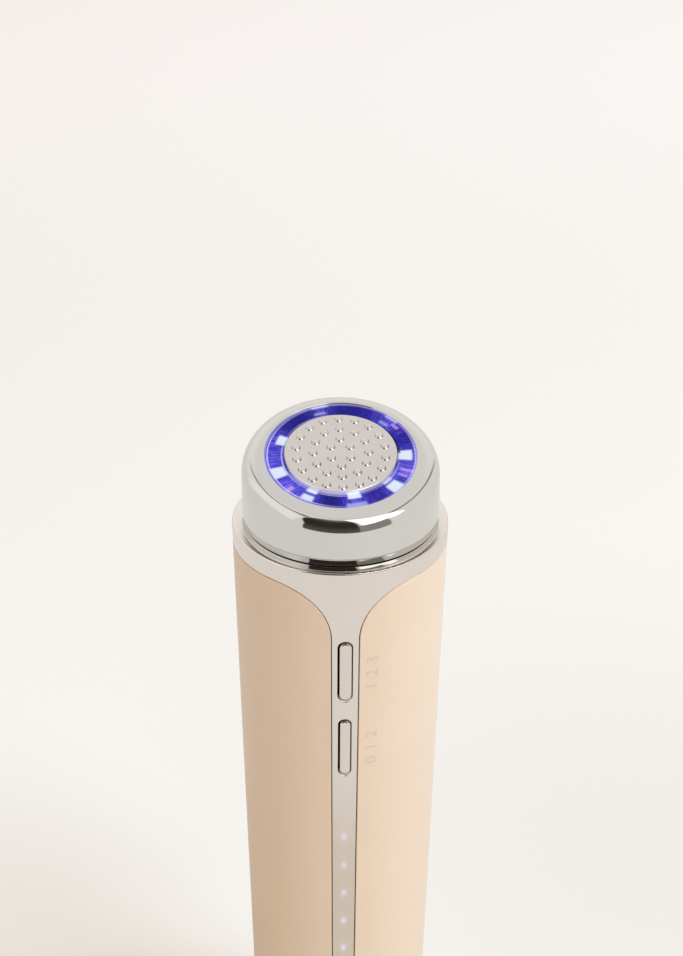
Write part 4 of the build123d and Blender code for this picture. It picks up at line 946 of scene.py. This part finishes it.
black_rubber = plain("black_rubber", (0.018, 0.018, 0.018), (0.035, 0.034, 0.033), 0.7, grain=2500.0)
black_lacquer = plain("black_lacquer", (0.07, 0.065, 0.06), (0.10, 0.095, 0.09), 0.05, 1.0)
black_plastic = plain("black_plastic", (0.02, 0.02, 0.02), (0.04, 0.04, 0.042), 0.45)
white_plastic = plain("white_plastic", (0.72, 0.72, 0.69), (0.80, 0.80, 0.78), 0.45)
cream_plastic = plain("cream_plastic", (0.68, 0.62, 0.50), (0.75, 0.69, 0.58), 0.4)
green_board = plain("green_board", (0.02, 0.14, 0.06), (0.05, 0.24, 0.11), 0.3, grain=1500.0)
white_board = plain("white_board", (0.78, 0.78, 0.76), (0.86, 0.86, 0.84), 0.35, grain=1500.0)
black_chip = plain("black_chip", (0.025, 0.025, 0.028), (0.05, 0.05, 0.055), 0.5, grain=3000.0)
grey_core = plain("grey_core", (0.10, 0.10, 0.11), (0.17, 0.17, 0.18), 0.55, grain=2500.0)
steel = plain("turned_steel", (0.52, 0.52, 0.53), (0.64, 0.64, 0.65), 0.22, 1.0, 2500.0)
nickel = plain("nickel_strip", (0.60, 0.58, 0.53), (0.70, 0.68, 0.62), 0.25, 1.0, 2500.0)
gold = plain("gold_plating", (0.80, 0.56, 0.24), (0.90, 0.68, 0.34), 0.2, 1.0, 2500.0)
heavy_metal = plain("sintered_weight", (0.30, 0.30, 0.31), (0.42, 0.42, 0.43), 0.4, 1.0, 3500.0)
blue_wrap = plain("cell_wrap", (0.06, 0.20, 0.42), (0.10, 0.28, 0.52), 0.25, grain=400.0)
amber_film = plain("amber_film", (0.50, 0.26, 0.05), (0.66, 0.38, 0.10), 0.25, grain=500.0)
red_wire = plain("red_wire", (0.42, 0.04, 0.03), (0.58, 0.08, 0.06), 0.4, grain=1200.0)
print("plain finishes ready")

# %% Small lights
lens = Finish("small_light", Roughness=0.3)
lens_speck = lens.noise(2500.0)
lens.set(
    Base_Color=lens.mix(lens_speck, (0.82, 0.82, 0.9), (0.9, 0.9, 1.0)),
    Emission_Color=lens.mix(lens_speck, (0.6, 0.6, 1.0), (0.8, 0.8, 1.0)),
    Emission_Strength=0.6,
)
pipe = Finish("light_pipe", Roughness=0.15, Coat_Weight=0.5)
pipe.set(Base_Color=pipe.mix(pipe.noise(800.0), (0.70, 0.72, 0.80), (0.80, 0.82, 0.90)))
print("light finishes ready")

# %% [markdown]
# ## Dress the solids
# The solids that have no finer skin of their own get a finish in place of their plain colour. The
# ones that a skin stands for get it too, so nothing is left plain when the wand is taken apart.

# %% Dress the solids
def dress(finish, *names):
    """Give a finish to CAD nodes."""
    for name in names:
        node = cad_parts[name]
        node.data.materials.clear()
        node.data.materials.append(finish.material)


dress(peach, "handle_sleeve")
dress(lit_silver, "collar_spine")
dress(silver, "base_cap")
dress(button_silver, "mode_button", "level_button")
dress(chrome, "head_cap", "head_ring")
dress(electrode_metal, "centre_electrode")
dress(blue_ring, "light_ring")
dress(black_lacquer, "head_seal")
dress(black_rubber, "foot_ring", "motor_damper")
dress(black_plastic, "light_baffle", "charge_tongue")
dress(white_plastic, "chassis", "battery_straps", "head_frame", "head_base")
dress(cream_plastic, "mode_plunger", "level_plunger")
dress(green_board, "main_board", "charge_board")
dress(white_board, "led_board")
dress(black_chip, "board_chips", "switch_bodies")
dress(grey_core, "pulse_transformer")
dress(steel, "board_screws", "chassis_screw", "head_screws", "base_screws", "charge_socket")
dress(steel, "motor_can", "motor_shaft")
dress(nickel, "battery_tabs")
dress(gold, "electrode_pin", "cap_contact")
dress(heavy_metal, "eccentric_weight")
dress(blue_wrap, "battery_cell")
dress(amber_film, "head_ribbon")
dress(red_wire, "battery_leads", "charge_leads", "electrode_leads", "motor_leads")
dress(lens, "indicator_leds", "led_chips")
dress(pipe, "light_pipes")
undressed = [name for name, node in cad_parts.items() if not node.data.materials[0].use_nodes]
print("nodes without a finish:", undressed)

# %% [markdown]
# ## Numbers beside the buttons
# The sleeve carries two faint printed labels, turned to read upwards. Each is flat text at first,
# then a mesh whose points are laid on the cone, a hundredth of a millimetre proud of the coating.
# A long flat face would cut through the cone, so the mesh is first sliced every 0.2 mm.

# %% Numbers
INK_RISE = 0.012 * MM
NUMBER_H = 2.6 * MM
CAPITAL = 0.72  # height of a number in the plain font, for a text size of 1
CUT_STEP = 0.2 * MM
NUMBER_TURN = 7.0 * MM  # distance round the handle from its front to the baseline

ink = plain("grey_ink", (0.69, 0.53, 0.405), (0.73, 0.57, 0.445), 0.4)


def printed(name, text, low):
    """Wrap a short text round the handle. It starts at a height and reads upwards."""
    curve = bpy.data.curves.new(name, "FONT")
    curve.body = text
    curve.size = NUMBER_H / CAPITAL
    curve.space_character = 1.12
    curve.extrude = 0.008 * MM
    flat_text = bpy.data.objects.new(name, curve)
    bpy.context.scene.collection.objects.link(flat_text)
    depsgraph = bpy.context.evaluated_depsgraph_get()
    shape = bpy.data.meshes.new_from_object(flat_text.evaluated_get(depsgraph))
    bpy.data.objects.remove(flat_text)
    mesh = bmesh.new()
    mesh.from_mesh(shape)
    bpy.data.meshes.remove(shape)
    for step in range(round(NUMBER_H / CUT_STEP) + 1):
        cut = (0.0, step * CUT_STEP, 0.0)
        everything = mesh.verts[:] + mesh.edges[:] + mesh.faces[:]
        bmesh.ops.bisect_plane(mesh, geom=everything, plane_co=cut, plane_no=(0.0, 1.0, 0.0))
    for point in mesh.verts:
        up, aside, out = point.co
        z = low + up
        radius = CONE_R - (LEDGE - z) * TAPER + INK_RISE + out
        turn = (NUMBER_TURN - aside) / CONE_R
        point.co = (radius * math.sin(turn), -radius * math.cos(turn), z)
    return piece(name, mesh, ink, [])


printed("upper_label", "1 2 3", 121.6 * MM)
printed("lower_label", "0 1 2", 103.2 * MM)

# %% [markdown]
# ## Table and light
# The wand stands on a wide pale table. The light is a soft room: even from above, brighter from
# the right. Polished metal needs more than light, because it mirrors what stands round it, so for
# reflections alone the room also has a dark side where the camera stands and a white window.

# %% Table
MIRROR_REACH = 0.128  # reflections see the table as far as this from the wand, and then the room
SHADOW_LIFT_X, SHADOW_LIFT_Y, SHADOW_LIFT_R = -0.043, 0.045, 0.032  # painted light behind the foot, which lifts the wand's shadow, in metres


def table_top():
    """Wide pale table with painted light and shade: paler at the back, darker on the near right, paler
    behind the foot. Reflections see only its middle, painted darker, and then the room.
    """
    mesh = bmesh.new()
    bmesh.ops.create_grid(mesh, x_segments=1, y_segments=1, size=6.0)
    data = bpy.data.meshes.new("table_top")
    mesh.to_mesh(data)
    mesh.free()
    made = bpy.data.objects.new("table_top", data)
    bpy.context.scene.collection.objects.link(made)
    paint = Finish("table_paint", Roughness=0.9, Specular_IOR_Level=0.1)
    path = paint.tree.nodes.new("ShaderNodeLightPath")
    glossy = Value(paint.tree, path.outputs["Is Glossy Ray"])
    x, y, _ = paint.split(paint.place())
    # painted shade and light: darker on the near right, where the lamp falls stronger, paler far back
    near = paint.mix(paint.ease(x, -0.09, 0.09), (0.86, 0.785, 0.715), (0.775, 0.695, 0.63))
    pale = paint.mix(paint.ease(y, 0.08, 0.25), near, (0.855, 0.775, 0.715))
    pale = paint.mix(paint.ease(y, 0.35, 0.65), pale, (0.91, 0.825, 0.775))
    # painted light: a paler spot that lifts the wand's shadow behind its foot
    from_x, from_y = x - SHADOW_LIFT_X, y - SHADOW_LIFT_Y
    spot = (from_x * from_x + from_y * from_y).root().bell(SHADOW_LIFT_R)
    pale = paint.mix(spot, pale, (0.99, 0.925, 0.865))
    # painted shade: reflections see the table as a darker brown
    paint.set(Base_Color=paint.mix(glossy, pale, (0.56, 0.48, 0.40)))
    past = glossy * ((x * x + y * y).root() > MIRROR_REACH)
    clear = paint.node("ShaderNodeBsdfTransparent")
    solid = Value(paint.tree, paint.surface.outputs[0])
    blend = paint.node("ShaderNodeMixShader", Fac=past, i1=solid, i2=clear)
    output = paint.tree.nodes["Material Output"]
    paint.tree.links.new(blend.socket, output.inputs["Surface"])
    data.materials.append(paint.material)
    return made


table_top()
print("table seen by reflections to:", MIRROR_REACH)

# %% [markdown]
# ## Room for reflections
# The axes of the room are two angles: round from the front, positive to the right, and up from the
# horizon. A pale room is made first. Then come the left wall's glow, the shaded edges of the ceiling
# panels, the dark opening in front, its grey door and the white window, each over the last.

# %% Room axes
DEGREES = 180.0 / math.pi

world = bpy.data.worlds.new("studio_room")
bpy.context.scene.world = world
world.use_nodes = True
room = Shader(world.node_tree)
for node in list(room.tree.nodes):
    room.tree.nodes.remove(node)
room_x, room_y, room_z = room.split(room.node("ShaderNodeTexCoord", output=0))
around = room.node("ShaderNodeMath", {"operation": "ARCTAN2"}, i0=room_x, i1=-room_y) * DEGREES
above = room.node("ShaderNodeMath", {"operation": "ARCSINE"}, i0=room_z) * DEGREES


def between(angle, low_from, low_to, high_from, high_to):
    """1 between two angles, in degrees, each with a soft edge that has a start and an end."""
    return room.ease(angle, low_from, low_to) * room.ease(angle, high_from, high_to, 1.0, 0.0)


def arc(centre, height, bend, width):
    """1 along the shaded edge of a ceiling panel, which sinks away from its middle."""
    turn = around - centre
    return (above - height + turn * turn * bend).bell(width)


print("room axes ready")

# %% Pale room
look = room.mix(room.ease(room_x, -0.8, 0.8), (0.74, 0.72, 0.70), (0.785, 0.76, 0.73))
back = room.ease(room_y, 0.2, 0.8) * between(above, 5.0, 20.0, 42.0, 60.0)
look = room.mix(back, look, (0.86, 0.835, 0.80))
left_band = room.ease(above + (around + 75.0) * (around + 75.0) * 0.012, 22.0, 36.0)
look = room.mix(between(around, -128.0, -108.0, -58.0, -48.0) * left_band, look, (0.93, 0.91, 0.88))
look = room.mix(room.ease(above, 74.0, 86.0) * 0.2, look, (0.42, 0.40, 0.38))
print("pale room nodes:", len(room.tree.nodes))

# %% Ceiling edges
left_edge = arc(-75.0, 73.0, 0.012, 4.5) * between(around, -142.0, -122.0, -62.0, -54.0)
right_edge = arc(70.0, 62.0, 0.0128, 4.5) * between(around, 50.0, 66.0, 120.0, 140.0)
look = room.mix(left_edge, look, (0.18, 0.165, 0.15))
look = room.mix(right_edge, look, (0.17, 0.155, 0.14))
print("ceiling edges drawn")

# %% Dark opening and white window
dark = room.mix(room.ease(above, 8.0, 45.0), (0.088, 0.078, 0.068), (0.034, 0.027, 0.023))
dark = room.mix(room.ease(above, 62.0, 86.0), dark, (0.16, 0.145, 0.135))
slanted = around + (above - 36.0).most(0.0) * 0.43
open_side = room.ease(slanted, -42.5, -40.5) * room.ease(around, 17.0, 21.0, 1.0, 0.0)
look = room.mix(open_side * between(above, 0.0, 6.0, 77.0, 90.0), look, dark)
door = between(around, 16.5, 19.5, 49.5, 52.5) * between(above, 1.5, 4.5, 40.5, 43.5)
look = room.mix(door, look, (0.26, 0.245, 0.22))
raised = above + room.ease(around, 48.0, 62.0, 0.0, 9.0)
pane = room.ease(raised, 41.5, 44.5) * room.ease(above, 81.0, 88.0, 1.0, 0.0)
look = room.mix(between(around, 21.0, 25.0, 69.0, 73.0) * pane, look, (1.7, 1.69, 1.67))
print("room look nodes:", len(room.tree.nodes))

# %% Room light
path = room.tree.nodes.new("ShaderNodeLightPath")
seen = Value(room.tree, path.outputs["Is Camera Ray"])
glossy = Value(room.tree, path.outputs["Is Glossy Ray"])
colour = room.mix(glossy, (0.535, 0.46, 0.37), look)
colour = room.mix(seen, colour, (0.913, 0.879, 0.855))
light = room.node("ShaderNodeBackground", Color=colour, Strength=1.0)
output = room.tree.nodes.new("ShaderNodeOutputWorld")
room.tree.links.new(light.socket, output.inputs["Surface"])
print("room light ready")

# %% [markdown]
# ## Key light
# One large lamp, high on the right, gives the matt coating its bright side and the soft shadow on
# the table. Mirrors would show it as a hard white square, so it is hidden from reflections.

# %% Key light
KEY_SIZE = 2.1
KEY_ENERGY = 136.0
KEY_AIM = Vector((0.0, 0.0, 0.11))
KEY_AWAY = Vector((1.56, -1.02, 2.66))


def key_light():
    """Large soft lamp, high on the right. It lights matt surfaces and leaves the mirrors alone."""
    data = bpy.data.lights.new("key_light", "AREA")
    data.shape = "RECTANGLE"
    data.size = KEY_SIZE
    data.size_y = KEY_SIZE
    data.energy = KEY_ENERGY
    data.color = (0.66, 0.835, 1.0)
    lamp = bpy.data.objects.new("key_light", data)
    bpy.context.scene.collection.objects.link(lamp)
    lamp.location = KEY_AIM + KEY_AWAY
    lamp.rotation_euler = KEY_AWAY.to_track_quat("Z", "Y").to_euler()
    lamp.visible_glossy = False
    return lamp


key = key_light()
bpy.context.scene.view_settings.view_transform = "Standard"
print("key light energy:", key.data.energy)
